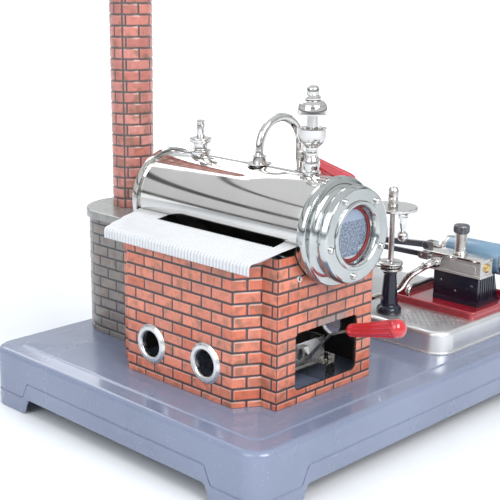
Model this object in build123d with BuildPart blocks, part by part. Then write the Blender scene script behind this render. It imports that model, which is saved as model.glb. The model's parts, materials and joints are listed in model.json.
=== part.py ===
from build123d import *
from math import sin, cos, tan, atan2, radians, pi
import os

# Toy steam plant: a boiler house with a chimney on the left, a horizontal engine with
# flywheel and ball governor on the right, all on one pressed base plate.
# Frame: +X right (engine side), +Y back (chimney end), +Z up.  Millimetres.
# Everything is drawn about the centre of the base plate, on the table, and moved at the
# end so the origin is the centre of the overall footprint, which includes the burner
# grip in front.

os.makedirs("parts", exist_ok=True)

CUT = Mode.SUBTRACT
UP, RIGHT, LEFT = (0, 0, 1), (1, 0, 0), (-1, 0, 0)
BACK, FORWARD = (0, 1, 0), (0, -1, 0)

# ---------------------------------------------------------------- driving sizes
ORIGIN_SHIFT = 9.59              # base-plate centre to footprint centre, along Y
CLEARANCE = 0.05                 # radial running clearance of every moving fit

BASE_X, BASE_Y = 274.4, 215.0    # pressed steel base plate
BASE_TOP = 35.0
BASE_T = 1.5                     # sheet thickness

HOUSE_X = -57.2                  # centre plane of the boiler house and boiler
HOUSE_FRONT, HOUSE_BACK = -77.5, 37.5
FRONT_HALF, BODY_HALF = 36.25, 49.0      # half widths at the end walls and at the sides
STRIP, FACET = 10.0, 17.7        # corner strip depth, start of the side wall
HOUSE_TOP = 112.0
WALL_T = 1.0

BOILER_Z = 121.25                # boiler axis height
BARREL_R, BARREL_T = 26.0, 0.8
BARREL_FRONT, BARREL_BACK = -82.0, 39.5
BARREL_TOP = BOILER_Z + BARREL_R
BOILER_AXIS = (HOUSE_X, 0, BOILER_Z)
SAFETY_Y, TAKEOFF_Y, WHISTLE_Y = 15.0, -29.4, -65.3      # the three top fittings

PLATE_TOP = 48.1                 # top of the engine plate

CYL_X, CYL_Z = 109.7, 74.4       # cylinder axis
CYL_FRONT, CYL_BACK = -80.0, -37.5
BORE_R = 5.3
ROD_R = 1.25                     # piston rod
VALVE_X, VALVE_Z = 90.9, 73.1    # valve rod axis
VALVE_ROD_R = 1.0

CRANK_Y, CRANK_Z = 28.1, 74.4    # crankshaft axis
SHAFT_R = 2.0
CRANK_THROW = 8.0
CRANK_ANGLE = radians(-154.05)   # crank pin direction in the Y-Z plane
PIN_Y = CRANK_Y + CRANK_THROW * cos(CRANK_ANGLE)
PIN_Z = CRANK_Z + CRANK_THROW * sin(CRANK_ANGLE)
CROSSHEAD_Y = -20.6              # crosshead pin at rest
ECC_THROW = 2.2
ECC_Y, ECC_Z = CRANK_Y, CRANK_Z - ECC_THROW
VALVE_PIN_Y = -30.0              # valve rod pin at rest

GOV_X, GOV_Y = 43.75, -40.6      # governor axis
BELT_R = 0.6
CRANK_BELT_R, GOV_BELT_R = 7.0, 6.2      # belt centre-line radii on the two pulleys
GROOVE_GAP = 0.1                 # belt surface to groove bottom
GOV_PULLEY_Z = 76.7


# ---------------------------------------------------------------- helpers
def turn(profile, origin, direction, mode=Mode.ADD):
    """Solid of revolution; profile columns are radius, distance along the axis."""
    axis_dir = Vector(*direction).normalized()
    radial = Vector(0, 0, 1) if abs(axis_dir.Z) < 0.9 else Vector(1, 0, 0)
    radial = (radial - axis_dir * radial.dot(axis_dir)).normalized()
    plane = Plane(origin=Vector(*origin), x_dir=radial, z_dir=radial.cross(axis_dir))
    with BuildSketch(plane) as section:
        with BuildLine():
            Polyline(*profile, close=True)
        make_face()
    revolve(section.sketch, axis=Axis(Vector(*origin), axis_dir), mode=mode)


def rod(start, end, radius, mode=Mode.ADD):
    """Round bar between two points."""
    start, end = Vector(*start), Vector(*end)
    length = (end - start).length
    turn([(0, 0), (radius, 0), (radius, length), (0, length)], start, end - start, mode)


def rod_x(x0, x1, y, z, radius, mode=Mode.ADD):
    """Round bar along X."""
    rod((x0, y, z), (x1, y, z), radius, mode)


def rod_y(y0, y1, x, z, radius, mode=Mode.ADD):
    """Round bar along Y."""
    rod((x, y0, z), (x, y1, z), radius, mode)


def rod_z(z0, z1, x, y, radius, mode=Mode.ADD):
    """Round bar along Z."""
    rod((x, y, z0), (x, y, z1), radius, mode)


def block(x0, x1, y0, y1, z0, z1, mode=Mode.ADD):
    """Rectangular block given by its six faces."""
    with BuildSketch(Plane.XY.offset(z0)) as section:
        with Locations(((x0 + x1) / 2, (y0 + y1) / 2)):
            Rectangle(x1 - x0, y1 - y0)
    extrude(section.sketch, amount=z1 - z0, mode=mode)


def rounded(bounds, inset, radius, z0, z1, mode=Mode.ADD):
    """Block with rounded vertical corners; bounds are x0, x1, y0, y1 before the inset."""
    x0, x1, y0, y1 = bounds
    with BuildSketch(Plane.XY.offset(z0)) as section:
        with Locations(((x0 + x1) / 2, (y0 + y1) / 2)):
            RectangleRounded(x1 - x0 - 2 * inset, y1 - y0 - 2 * inset, radius)
    extrude(section.sketch, amount=z1 - z0, mode=mode)


def prism(plane, outline, amount, mode=Mode.ADD):
    """Closed straight-sided outline in the plane's own coordinates, extruded."""
    with BuildSketch(plane) as section:
        with BuildLine():
            Polyline(*outline, close=True)
        make_face()
    extrude(section.sketch, amount=amount, mode=mode)


def sweep_round(path, radius, is_frenet=False):
    """Round wire or pipe along a path."""
    with BuildSketch(Plane(origin=path @ 0, z_dir=path % 0)) as section:
        Circle(radius)
    sweep(section.sketch, path=path, is_frenet=is_frenet)


def house_span(side, near, far):
    """Ordered X range between two distances from the house centre plane."""
    return sorted((HOUSE_X + side * near, HOUSE_X + side * far))


# ---------------------------------------------------------------- base plate
BASE_BOUNDS = (-BASE_X / 2, BASE_X / 2, -BASE_Y / 2, BASE_Y / 2)
BASE_CORNER = 12.0               # corner radius, and width of the lower border
BASE_STEP = 0.6                  # rise of the middle above the border
SKIRT_LIFT = 9.4                 # skirt raised off the table between the feet
FOOT_LEN = 34.0

with BuildPart() as base_plate:
    rounded(BASE_BOUNDS, 0, BASE_CORNER, 0, BASE_TOP - BASE_STEP)
    rounded(BASE_BOUNDS, BASE_CORNER, 6, BASE_TOP - BASE_STEP, BASE_TOP)
    rounded(BASE_BOUNDS, BASE_T, BASE_CORNER - BASE_T, 0, BASE_TOP - BASE_STEP - BASE_T, CUT)
    # the skirt is cut away between the four corner feet
    foot_x, foot_y = BASE_X / 2 - FOOT_LEN, BASE_Y / 2 - FOOT_LEN
    block(-foot_x, foot_x, -BASE_Y / 2 - 1, BASE_Y / 2 + 1, 0, SKIRT_LIFT, CUT)
    block(-BASE_X / 2 - 1, BASE_X / 2 + 1, -foot_y, foot_y, 0, SKIRT_LIFT, CUT)

# ---------------------------------------------------------------- boiler house
FIRE_X, FIRE_W, FIRE_Z0, FIRE_Z1 = -56.4, 47.4, 41.9, 71.9       # front opening
EYELET_OFFSETS, EYELET_Z, EYELET_R = (-21.0, 21.0), 99.7, 1.3
CRADLE_R = BARREL_R + 0.2        # cut in both end walls for the barrel
PORT_Z, PORT_Y = 53.8, (0.3, -40.9)
PORT_HOLE_R, PORT_RING_R = 6.9, 10.9
PORT_SEAT_R = PORT_HOLE_R + 1.2
LEFT_WALL, RIGHT_WALL = HOUSE_X - BODY_HALF, HOUSE_X + BODY_HALF

with BuildPart() as house_front_wall:
    block(HOUSE_X - FRONT_HALF, HOUSE_X + FRONT_HALF, HOUSE_FRONT, HOUSE_FRONT + WALL_T,
          BASE_TOP, HOUSE_TOP)
    with BuildSketch(Plane.XZ.offset(-HOUSE_FRONT + 1)) as fire_opening:
        with Locations((FIRE_X, (FIRE_Z0 + FIRE_Z1) / 2)):
            RectangleRounded(FIRE_W, FIRE_Z1 - FIRE_Z0, 3.0)
    extrude(fire_opening.sketch, amount=-4, mode=CUT)
    rod_y(HOUSE_FRONT - 2, HOUSE_FRONT + 3, HOUSE_X, BOILER_Z, CRADLE_R, CUT)
    for offset in EYELET_OFFSETS:
        rod_y(HOUSE_FRONT - 2, HOUSE_FRONT + 3, HOUSE_X + offset, EYELET_Z, EYELET_R, CUT)


def house_outline(inset):
    """Plan of the side and rear walls, set inwards; open ends meet the front wall."""
    shift = inset * tan(atan2(BODY_HALF - FRONT_HALF, FACET - STRIP) / 2)
    narrow, wide = FRONT_HALF - inset, BODY_HALF - inset
    # distance from the centre plane, y
    half = [(narrow, HOUSE_FRONT + WALL_T), (narrow, HOUSE_FRONT + STRIP + shift),
            (wide, HOUSE_FRONT + FACET + shift), (wide, HOUSE_BACK - FACET - shift),
            (narrow, HOUSE_BACK - STRIP - shift), (narrow, HOUSE_BACK - inset)]
    return ([(HOUSE_X - x, y) for x, y in half]
            + [(HOUSE_X + x, y) for x, y in reversed(half)])


with BuildPart() as house_body:
    prism(Plane.XY.offset(BASE_TOP), house_outline(0) + house_outline(WALL_T)[::-1],
          HOUSE_TOP - BASE_TOP)
    rod_y(HOUSE_BACK - 4, HOUSE_BACK + 3, HOUSE_X, BOILER_Z, CRADLE_R, CUT)
    for y in PORT_Y:
        rod_x(LEFT_WALL - 2, LEFT_WALL + 4, y, PORT_Z, PORT_SEAT_R, CUT)
        rod_x(RIGHT_WALL - 4, RIGHT_WALL + 2, y, PORT_Z, PORT_SEAT_R, CUT)
    # flue passage through the rear wall into the chimney base
    block(HOUSE_X - 15, HOUSE_X + 25, HOUSE_BACK - 3, HOUSE_BACK + 3, 45, 85, CUT)

with BuildPart() as porthole_rings:
    for x, outward in ((LEFT_WALL, LEFT), (RIGHT_WALL, RIGHT)):
        for y in PORT_Y:
            turn([(PORT_HOLE_R, -1.6), (PORT_SEAT_R, -1.6), (PORT_SEAT_R, 0),
                  (PORT_RING_R, 0), (PORT_RING_R, 0.6), (9.4, 1.7), (7.6, 1.7),
                  (PORT_HOLE_R, 0.9)], (x, y, PORT_Z), outward)

with BuildPart() as wall_eyelets:
    for offset in EYELET_OFFSETS:
        turn([(0.7, -1.6), (EYELET_R, -1.6), (EYELET_R, 0), (1.9, 0), (1.6, 0.6), (0.9, 0.6),
              (0.7, 0.2)], (HOUSE_X + offset, HOUSE_FRONT, EYELET_Z), FORWARD)

# awnings: sloping sheet, rounded nose, short hanging lip
AWNING_INNER, AWNING_NOSE, AWNING_LIP = 26.0, 53.7, 55.9     # from the centre plane
INNER_Z, NOSE_Z, LIP_Z = 117.5, 112.8, 107.5
RIGHT_SETBACK = 5.5              # the right sheet starts this much further back

# distance from the centre plane, z
AWNING_PROFILE = [
    (AWNING_INNER, INNER_Z), (AWNING_NOSE, NOSE_Z + 0.3), (AWNING_NOSE + 1.6, NOSE_Z - 0.6),
    (AWNING_LIP, NOSE_Z - 2.4), (AWNING_LIP, LIP_Z), (AWNING_LIP - 1.0, LIP_Z),
    (AWNING_LIP - 1.0, NOSE_Z - 2.2), (AWNING_NOSE + 0.9, NOSE_Z - 1.2),
    (AWNING_NOSE - 0.1, NOSE_Z - 0.7), (AWNING_INNER, INNER_Z - 1.0)]


def awning(side, setback=0.0):
    """Roof sheet on one side (-1 left, 1 right); setback shortens its front end."""
    prism(Plane.XZ.offset(-45), [(HOUSE_X + side * x, z) for x, z in AWNING_PROFILE], 130)
    # slanted ends: the sheet is longer beside the barrel than at the lip
    near = HOUSE_X + side * (AWNING_INNER - 3)
    inner = HOUSE_X + side * AWNING_INNER
    outer = HOUSE_X + side * (AWNING_LIP + 3)
    for lip_y, inner_y, end in ((HOUSE_FRONT + setback, -80.4 + setback, -1),
                                (29.4, 36.5, 1)):
        beyond = inner_y + 60 * end
        prism(Plane.XY.offset(100), [(near, inner_y), (inner, inner_y), (outer, lip_y),
                                     (outer, beyond), (near, beyond)], 25, CUT)
    # slot beside the barrel
    block(*house_span(side, AWNING_INNER - 1, AWNING_INNER + 7.4),
          -71.2 + setback, 13.1, 105, 125, CUT)


with BuildPart() as awning_left:
    awning(-1)
with BuildPart() as awning_right:
    awning(1, RIGHT_SETBACK)

# ---------------------------------------------------------------- chimney
STACK_X, STACK_Y, STACK_R, STACK_TOP = -49.7, 81.9, 12.0, 260.0
CHIMNEY_X, CHIMNEY_Y, CHIMNEY_R = -51.6, 77.5, 27.3      # centre of the half-round back
CHIMNEY_FRONT = 45.0
CHIMNEY_TOP, SLAB_TOP = 103.8, 108.4
CHIMNEY_T = 1.2
SLAB_OVERHANG = 2.2
FLUE_TOP = 92.0                  # low box under the barrel


def half_round(half_width, front_y, z0, z1, mode=Mode.ADD):
    """Upright block on the chimney centre with a half-round back."""
    left, right = CHIMNEY_X - half_width, CHIMNEY_X + half_width
    with BuildSketch(Plane.XY.offset(z0)) as section:
        with BuildLine():
            Line((left, front_y), (left, CHIMNEY_Y))
            ThreePointArc((left, CHIMNEY_Y), (CHIMNEY_X, CHIMNEY_Y + half_width),
                          (right, CHIMNEY_Y))
            Line((right, CHIMNEY_Y), (right, front_y))
            Line((right, front_y), (left, front_y))
        make_face()
    extrude(section.sketch, amount=z1 - z0, mode=mode)


with BuildPart() as chimney_base:
    inner_r = CHIMNEY_R - CHIMNEY_T
    half_round(CHIMNEY_R, CHIMNEY_FRONT, BASE_TOP, CHIMNEY_TOP)
    block(CHIMNEY_X - CHIMNEY_R, CHIMNEY_X + CHIMNEY_R, HOUSE_BACK, CHIMNEY_FRONT,
          BASE_TOP, FLUE_TOP)
    half_round(inner_r, CHIMNEY_FRONT + CHIMNEY_T, BASE_TOP, CHIMNEY_TOP, CUT)
    block(CHIMNEY_X - inner_r, CHIMNEY_X + inner_r, HOUSE_BACK, CHIMNEY_FRONT + 2,
          BASE_TOP, FLUE_TOP - CHIMNEY_T, CUT)

with BuildPart() as chimney_cap_slab:
    half_round(CHIMNEY_R + SLAB_OVERHANG, CHIMNEY_FRONT - 0.4, CHIMNEY_TOP, SLAB_TOP)
    fillet(chimney_cap_slab.edges().group_by(Axis.Z)[-1], 1.2)
    rod_z(CHIMNEY_TOP - 1, SLAB_TOP + 1, STACK_X, STACK_Y, STACK_R - 1.2, CUT)

with BuildPart() as chimney_tube:
    turn([(STACK_R - 1.0, SLAB_TOP), (STACK_R, SLAB_TOP), (STACK_R, STACK_TOP - 2.4),
          (STACK_R + 0.9, STACK_TOP - 1.8), (STACK_R + 0.9, STACK_TOP - 0.5),
          (STACK_R + 0.3, STACK_TOP), (STACK_R - 1.0, STACK_TOP)],
         (STACK_X, STACK_Y, 0), UP)

# ---------------------------------------------------------------- boiler
BARREL_INNER_R = BARREL_R - BARREL_T
FACE_Y = -96.3                   # front ring face
SCREW_R, SCREW_ANGLE, SCREWS = 20.3, 47.7, 5
SCREW_SHANK_R = 0.95
GLASS_Y, GLASS_R, GLASS_T = -91.7, 14.9, 1.5     # front of the recessed sight glass
GASKET_T = 0.8

with BuildPart() as boiler_barrel:
    turn([(BARREL_INNER_R, BARREL_FRONT), (BARREL_R, BARREL_FRONT),
          (BARREL_R, BARREL_BACK), (BARREL_INNER_R, BARREL_BACK)], BOILER_AXIS, BACK)
    # bushes for the three top fittings
    for y in (SAFETY_Y, TAKEOFF_Y, WHISTLE_Y):
        rod_z(BARREL_TOP - 2.0, BARREL_TOP + 0.4, HOUSE_X, y, 4.0)
        rod_z(BARREL_TOP - 3.0, BARREL_TOP + 1.4, HOUSE_X, y, 2.5, CUT)

with BuildPart() as boiler_rear_cap:
    turn([(0, 44.0), (12, 43.8), (20, 43.2), (25, 42.5), (27.0, 41.4), (27.0, 38.2),
          (BARREL_R, 38.2), (BARREL_R, BARREL_BACK), (BARREL_INNER_R, BARREL_BACK + 0.1),
          (24.4, 41.5), (19.7, 42.1), (12, 42.7), (0, 42.9)], BOILER_AXIS, BACK)

with BuildPart() as boiler_front_flange:
    # turned end casting: rear rim, hollow neck, thick front ring, recessed glass seat
    turn([(BARREL_R, -80.8), (27.2, -80.8), (27.4, -82.2), (27.4, -84.6), (26.8, -85.4),
          (24.6, -85.9), (22.8, -86.9), (21.9, -88.3), (21.8, -89.6), (22.4, -90.8),
          (23.8, -91.5), (24.4, -92.1), (24.5, -93.0), (24.2, -94.2), (23.5, FACE_Y + 0.4),
          (22.7, FACE_Y), (GLASS_R, FACE_Y), (GLASS_R, GLASS_Y + GLASS_T),
          (12.2, GLASS_Y + GLASS_T), (12.2, -85.0), (BARREL_INNER_R, -84.0),
          (BARREL_INNER_R, BARREL_FRONT), (BARREL_R, BARREL_FRONT)], BOILER_AXIS, BACK)
    with Locations(Plane(origin=(HOUSE_X, FACE_Y, BOILER_Z), x_dir=RIGHT, z_dir=FORWARD)):
        with PolarLocations(SCREW_R, SCREWS, start_angle=SCREW_ANGLE):
            Hole(SCREW_SHANK_R, depth=3.6)

with BuildPart() as sight_glass:
    rod_y(GLASS_Y, GLASS_Y + GLASS_T, HOUSE_X, BOILER_Z, GLASS_R)
with BuildPart() as glass_gasket:
    turn([(12.3, GLASS_Y - GASKET_T), (GLASS_R, GLASS_Y - GASKET_T), (GLASS_R, GLASS_Y),
          (12.3, GLASS_Y)], BOILER_AXIS, BACK)
with BuildPart() as sight_glass_ring:
    turn([(13.4, GLASS_Y - GASKET_T), (GLASS_R, GLASS_Y - GASKET_T), (GLASS_R, FACE_Y),
          (17.3, FACE_Y), (17.3, FACE_Y - 0.6), (16.8, FACE_Y - 1.0), (15.5, FACE_Y - 1.0),
          (14.7, FACE_Y - 0.4), (13.7, GLASS_Y - 2.2)], BOILER_AXIS, BACK)
with BuildPart() as ring_screws:
    for i in range(SCREWS):
        angle = radians(SCREW_ANGLE + 360 / SCREWS * i)
        x, z = HOUSE_X + SCREW_R * cos(angle), BOILER_Z + SCREW_R * sin(angle)
        turn([(0, -3.2), (SCREW_SHANK_R, -3.2), (SCREW_SHANK_R, 0), (1.65, 0), (1.65, 0.9),
              (1.2, 1.4), (0, 1.5)], (x, FACE_Y, z), FORWARD)
        slot_angle = angle + 0.6 * i
        with BuildSketch(Plane(origin=(x, FACE_Y - 1.7, z), z_dir=FORWARD,
                               x_dir=(cos(slot_angle), 0, sin(slot_angle)))) as slot:
            Rectangle(5, 0.45)
        extrude(slot.sketch, amount=-0.9, mode=CUT)

# ---------------------------------------------------------------- safety valve
SAFETY_BASE = (HOUSE_X, SAFETY_Y, BARREL_TOP)

with BuildPart() as safety_valve_body:
    turn([(2.45, -2.0), (2.45, 0.4), (5.7, 0.4), (5.7, 2.6), (4.1, 3.2), (4.1, 6.6),
          (5.8, 6.9), (6.0, 7.4), (6.0, 8.9), (5.6, 9.4), (1.75, 9.4), (1.75, 8.2),
          (3.2, 8.2), (3.2, 1.5), (1.75, 1.5), (1.75, -2.0)], SAFETY_BASE, UP)
with BuildPart() as safety_valve_stem:
    # plug resting on the seat, stem up through the cap to the grooved button
    turn([(0, 1.5), (3.0, 1.5), (3.0, 2.3), (1.7, 2.3), (1.7, 9.8), (2.3, 9.8), (2.3, 16.4),
          (1.9, 16.9), (2.3, 17.4), (2.3, 18.6), (1.8, 19.0), (0, 19.0)], SAFETY_BASE, UP)
with BuildPart() as safety_valve_spring:
    with BuildLine() as coil:
        Helix(pitch=1.25, height=5.1, radius=2.5,
              center=(HOUSE_X, SAFETY_Y, BARREL_TOP + 2.7))
    sweep_round(coil.line, 0.3, is_frenet=True)

# ---------------------------------------------------------------- whistle
WHISTLE_BASE = (HOUSE_X, WHISTLE_Y, BARREL_TOP)
LEVER_Z = 155.5                  # lever pivot height
LEVER_PIN_R = 1.25
LEVER_DROP = radians(26.0)       # the lever falls to the right
LEVER_DIR = Vector(cos(LEVER_DROP), 0, -sin(LEVER_DROP))
LEVER_ORIGIN = Vector(HOUSE_X, WHISTLE_Y + 5.6, LEVER_Z)

with BuildPart() as whistle_body:
    # stem, open cup, then the thin post that carries the bell
    turn([(0, -2.5), (2.45, -2.5), (2.45, 0.4), (4.7, 0.4), (4.7, 1.5), (4.0, 2.0),
          (3.9, 2.4), (4.25, 4.4), (4.25, 6.6), (3.7, 8.4), (3.1, 9.2), (3.25, 9.7),
          (3.25, 11.2), (2.9, 11.5), (2.9, 12.0), (3.25, 12.4), (3.3, 13.4), (4.6, 14.4),
          (6.3, 16.4), (7.2, 18.8), (7.5, 23.1), (6.7, 23.1), (6.4, 19.2), (5.6, 17.2),
          (3.0, 16.0), (2.9, 39.0), (0, 39.0)], WHISTLE_BASE, UP)
    rod_y(WHISTLE_Y, WHISTLE_Y + 7.9, HOUSE_X, LEVER_Z, LEVER_PIN_R)
with BuildPart() as whistle_bell:
    turn([(2.95, 37.0), (3.4, 37.0), (5.4, 36.2), (6.9, 34.6), (7.4, 32.4), (7.6, 29.7),
          (6.9, 29.7), (6.7, 32.2), (6.2, 34.0), (4.9, 35.2), (2.95, 35.8)],
         WHISTLE_BASE, UP)
    turn([(2.95, 37.0), (2.95, 39.05), (0, 39.05), (0, 43.9), (2.2, 43.7), (3.1, 42.6),
          (3.25, 41.2), (3.25, 39.8), (3.0, 39.4), (3.25, 39.0), (4.2, 38.2), (4.2, 37.0)],
         WHISTLE_BASE, UP)
with BuildPart() as whistle_lever:
    rod_y(WHISTLE_Y + 4.6, WHISTLE_Y + 6.6, HOUSE_X, LEVER_Z, 2.9)
    rod(LEVER_ORIGIN + LEVER_DIR * 1.5, LEVER_ORIGIN + LEVER_DIR * 15, 1.0)
    rod_y(WHISTLE_Y + 4.0, WHISTLE_Y + 7.0, HOUSE_X, LEVER_Z, LEVER_PIN_R + CLEARANCE, CUT)
with BuildPart() as whistle_grip:
    turn([(1.0, 9), (2.9, 9), (3.3, 10), (3.9, 24), (4.7, 36), (4.7, 40), (3.8, 42.5),
          (0, 43.2), (0, 15), (1.0, 15)], LEVER_ORIGIN, LEVER_DIR)

# ---------------------------------------------------------------- steam pipe
PIPE_R = 2.3
LOOP_R, LOOP_Z = 15.6, 155.0     # half loop above the barrel
LOOP_END_X = HOUSE_X + 2 * LOOP_R
CROSS_Z, FALL_X, LOW_Z = 131.0, 16.5, 55.0       # upper run, vertical run, lower run
LOW_END_X = 56.0
BEND = 6.0
BEND_NEAR, BEND_FAR = BEND * (1 - cos(pi / 4)), BEND * sin(pi / 4)   # arc midpoint offsets
UNION_Y, UNION_Z = -50.0, 74.2   # where the pipe meets the steam chest
# x, y, z of the last, curving stretch
PIPE_TAIL = [(LOW_END_X, TAKEOFF_Y, LOW_Z), (64.0, -34.1, 58.0), (65.6, -36.6, 62.8),
             (67.6, -40.6, 67.8), (70.6, -46.0, 72.2), (76.0, UNION_Y, UNION_Z)]


def pipe_at(x, z):
    """Point in the vertical plane of the steam pipe."""
    return (x, TAKEOFF_Y, z)


with BuildPart() as steam_pipe:
    with BuildLine() as pipe_path:
        Line(pipe_at(HOUSE_X, BARREL_TOP + 0.4), pipe_at(HOUSE_X, LOOP_Z))
        ThreePointArc(pipe_at(HOUSE_X, LOOP_Z), pipe_at(HOUSE_X + LOOP_R, LOOP_Z + LOOP_R),
                      pipe_at(LOOP_END_X, LOOP_Z))
        Line(pipe_at(LOOP_END_X, LOOP_Z), pipe_at(LOOP_END_X, CROSS_Z + BEND))
        ThreePointArc(pipe_at(LOOP_END_X, CROSS_Z + BEND),
                      pipe_at(LOOP_END_X + BEND_NEAR, CROSS_Z + BEND - BEND_FAR),
                      pipe_at(LOOP_END_X + BEND, CROSS_Z))
        Line(pipe_at(LOOP_END_X + BEND, CROSS_Z), pipe_at(FALL_X - BEND, CROSS_Z))
        ThreePointArc(pipe_at(FALL_X - BEND, CROSS_Z),
                      pipe_at(FALL_X - BEND + BEND_FAR, CROSS_Z - BEND_NEAR),
                      pipe_at(FALL_X, CROSS_Z - BEND))
        Line(pipe_at(FALL_X, CROSS_Z - BEND), pipe_at(FALL_X, LOW_Z + BEND))
        ThreePointArc(pipe_at(FALL_X, LOW_Z + BEND),
                      pipe_at(FALL_X + BEND_NEAR, LOW_Z + BEND - BEND_FAR),
                      pipe_at(FALL_X + BEND, LOW_Z))
        Line(pipe_at(FALL_X + BEND, LOW_Z), pipe_at(LOW_END_X, LOW_Z))
        Spline(*PIPE_TAIL, tangents=(RIGHT, RIGHT))
    with BuildSketch(Plane(origin=pipe_at(HOUSE_X, BARREL_TOP + 0.4), z_dir=UP)) as section:
        Circle(PIPE_R)
    sweep(section.sketch, path=pipe_path.wires()[0])

with BuildPart() as steam_pipe_nuts:
    turn([(PIPE_R, 0.5), (6.6, 0.5), (6.6, 1.1), (3.7, 1.2), (3.7, 4.6), (3.3, 5.0),
          (PIPE_R, 5.0)], pipe_at(HOUSE_X, BARREL_TOP), UP)
    turn([(PIPE_R, 0.2), (2.9, 0.2), (3.1, 0.6), (3.1, 4.4), (2.9, 4.8), (2.8, 5.2),
          (2.8, 7.8), (0, 7.8), (0, 1.6), (PIPE_R, 1.6)], (74.4, UNION_Y, UNION_Z), RIGHT)

with BuildPart() as exhaust_pipe:
    with BuildLine() as exhaust_path:
        FilletPolyline((95.0, -43.0, 57.2), (95.0, -35.4, 57.2), (69.6, -35.4, 56.6),
                       (69.6, -35.4, 50.2), radius=3.0)
    sweep_round(exhaust_path.wires()[0], 1.7)

# ---------------------------------------------------------------- burner
BURNER_X0, BURNER_X1 = HOUSE_X - 16.3, HOUSE_X + 16.3
BURNER_Y0, BURNER_Y1 = -63.1, 10.0
BURNER_Z0, BURNER_Z1 = 45.6, 58.8
STRAP_X, STRAP_W = HOUSE_X - 0.6, 4.0
# y, z along the two faces of the strap, from the tray outwards
STRAP_LOWER = [(BURNER_Y0, 55.6), (-64.3, 55.6), (-65.6, 48.9), (-74.2, 60.0),
               (-82.0, 67.6), (-93.4, 71.8), (-106.0, 75.25)]
STRAP_UPPER = [(BURNER_Y0, 56.9), (-65.2, 56.9), (-66.1, 51.4), (-75.2, 61.2),
               (-82.7, 68.9), (-93.8, 73.0), (-106.0, 76.4)]

with BuildPart() as burner_rails:
    for side in (-1, 1):
        block(*house_span(side, 12, 19.5), -68, 14, BASE_TOP, 44.5)
        block(*house_span(side, 18.3, 19.5), -68, 14, 44.5, 48.5)
with BuildPart() as burner_tray:
    block(BURNER_X0, BURNER_X1, BURNER_Y0, BURNER_Y1, BURNER_Z0, BURNER_Z1)
    block(BURNER_X0 - 1.4, BURNER_X1 + 1.4, BURNER_Y0 - 1.0, BURNER_Y1,
          BURNER_Z0 - 1.0, BURNER_Z0)
    block(BURNER_X0 + 1, BURNER_X1 - 1, BURNER_Y0 + 1, BURNER_Y1 - 1,
          BURNER_Z0, BURNER_Z1 + 1, CUT)
with BuildPart() as burner_handle:
    # flat strap folded down the tray front, then up and out to the grip
    prism(Plane.YZ.offset(STRAP_X - STRAP_W / 2), STRAP_LOWER + STRAP_UPPER[::-1], STRAP_W)
with BuildPart() as burner_grip:
    turn([(0, 0), (3.1, 0), (3.7, 1.0), (3.9, 10), (4.5, 22), (4.75, 29), (4.4, 32.0),
          (2.9, 33.5), (0, 33.9)], (STRAP_X, -93.6, 72.45), (0, -33.0, 9.0))
    # slot for the strap
    slot_w = STRAP_W + 0.1
    prism(Plane.YZ.offset(STRAP_X - slot_w / 2),
          [(-92.0, 70.6), (-106.2, 74.6), (-106.2, 77.0), (-92.0, 73.4)], slot_w, CUT)

# ---------------------------------------------------------------- engine plate and tray
PLATE_BOUNDS = (29.7, 124.1, -88.9, 53.8)        # x0, x1, y0, y1
PLATE_CORNER, PLATE_T, PLATE_RIM = 11.5, 1.5, 1.0
DRIP_BOUNDS = (65.3, 119.9, -85.3, -24.4)
DRIP_TOP, DRIP_FLOOR_T, DRIP_WALL_T = 51.6, 0.9, 1.1
PEDESTAL_FRONT, PEDESTAL_LEN = -75.0, 32.0
CHEST_Z0, CHEST_Z1 = 67.2, 78.4

with BuildPart() as engine_plate:
    rounded(PLATE_BOUNDS, -1.3, 12.5, BASE_TOP, BASE_TOP + PLATE_RIM)
    rounded(PLATE_BOUNDS, 0, PLATE_CORNER, BASE_TOP + PLATE_RIM, PLATE_TOP)
    fillet(engine_plate.edges().group_by(Axis.Z)[-1], 2.6)
    rounded(PLATE_BOUNDS, PLATE_T, PLATE_CORNER - PLATE_T, BASE_TOP, PLATE_TOP - PLATE_T, CUT)

with BuildPart() as drip_tray:
    rounded(DRIP_BOUNDS, 0, 3.0, PLATE_TOP, DRIP_TOP)
    rounded(DRIP_BOUNDS, DRIP_WALL_T, 3.0 - DRIP_WALL_T, PLATE_TOP + DRIP_FLOOR_T,
            DRIP_TOP + 1, CUT)

with BuildPart() as engine_pedestal:
    foot_z = PLATE_TOP + DRIP_FLOOR_T
    prism(Plane.XZ.offset(-PEDESTAL_FRONT),
          [(84.9, foot_z), (109.7, foot_z), (109.2, 51.5), (107.4, 52.0), (103.0, CHEST_Z0),
           (85.1, CHEST_Z0), (85.1, 52.0), (84.9, 51.5)], -PEDESTAL_LEN)
    # flutes down the front face
    for i in range(7):
        x = 87.3 + 2.35 * i
        block(x, x + 1.1, PEDESTAL_FRONT - 0.5, PEDESTAL_FRONT + 0.5, 52.5, 65.8, CUT)

with BuildPart() as pedestal_screws:
    for y, z in ((-70.5, 61.5), (-59.0, 56.5), (-48.5, 61.5)):
        turn([(0, 0), (1.0, 0), (1.0, 0.4), (0.7, 0.75), (0, 0.75)], (85.1, y, z), LEFT)

# ---------------------------------------------------------------- cylinder and steam chest
CHEST_X0, CHEST_X1, CHEST_Y0, CHEST_Y1 = 84.1, 97.8, -76.2, -40.9
CHEST_LID_T = 1.5
FLANGE_R, FLANGE_T, WAIST_R = 8.9, 2.2, 7.4      # cylinder end flanges, body between
LAGGING_R = 9.5
# block joining the cylinder to the steam chest: outer x, y0, y1, z0, z1
CYL_MID = (CYL_FRONT + CYL_BACK) / 2
JOINT = (104.0, CYL_MID - 11.0, CYL_MID + 11.0, 69.4, 76.6)
OILER_Y = -57.5

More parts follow.
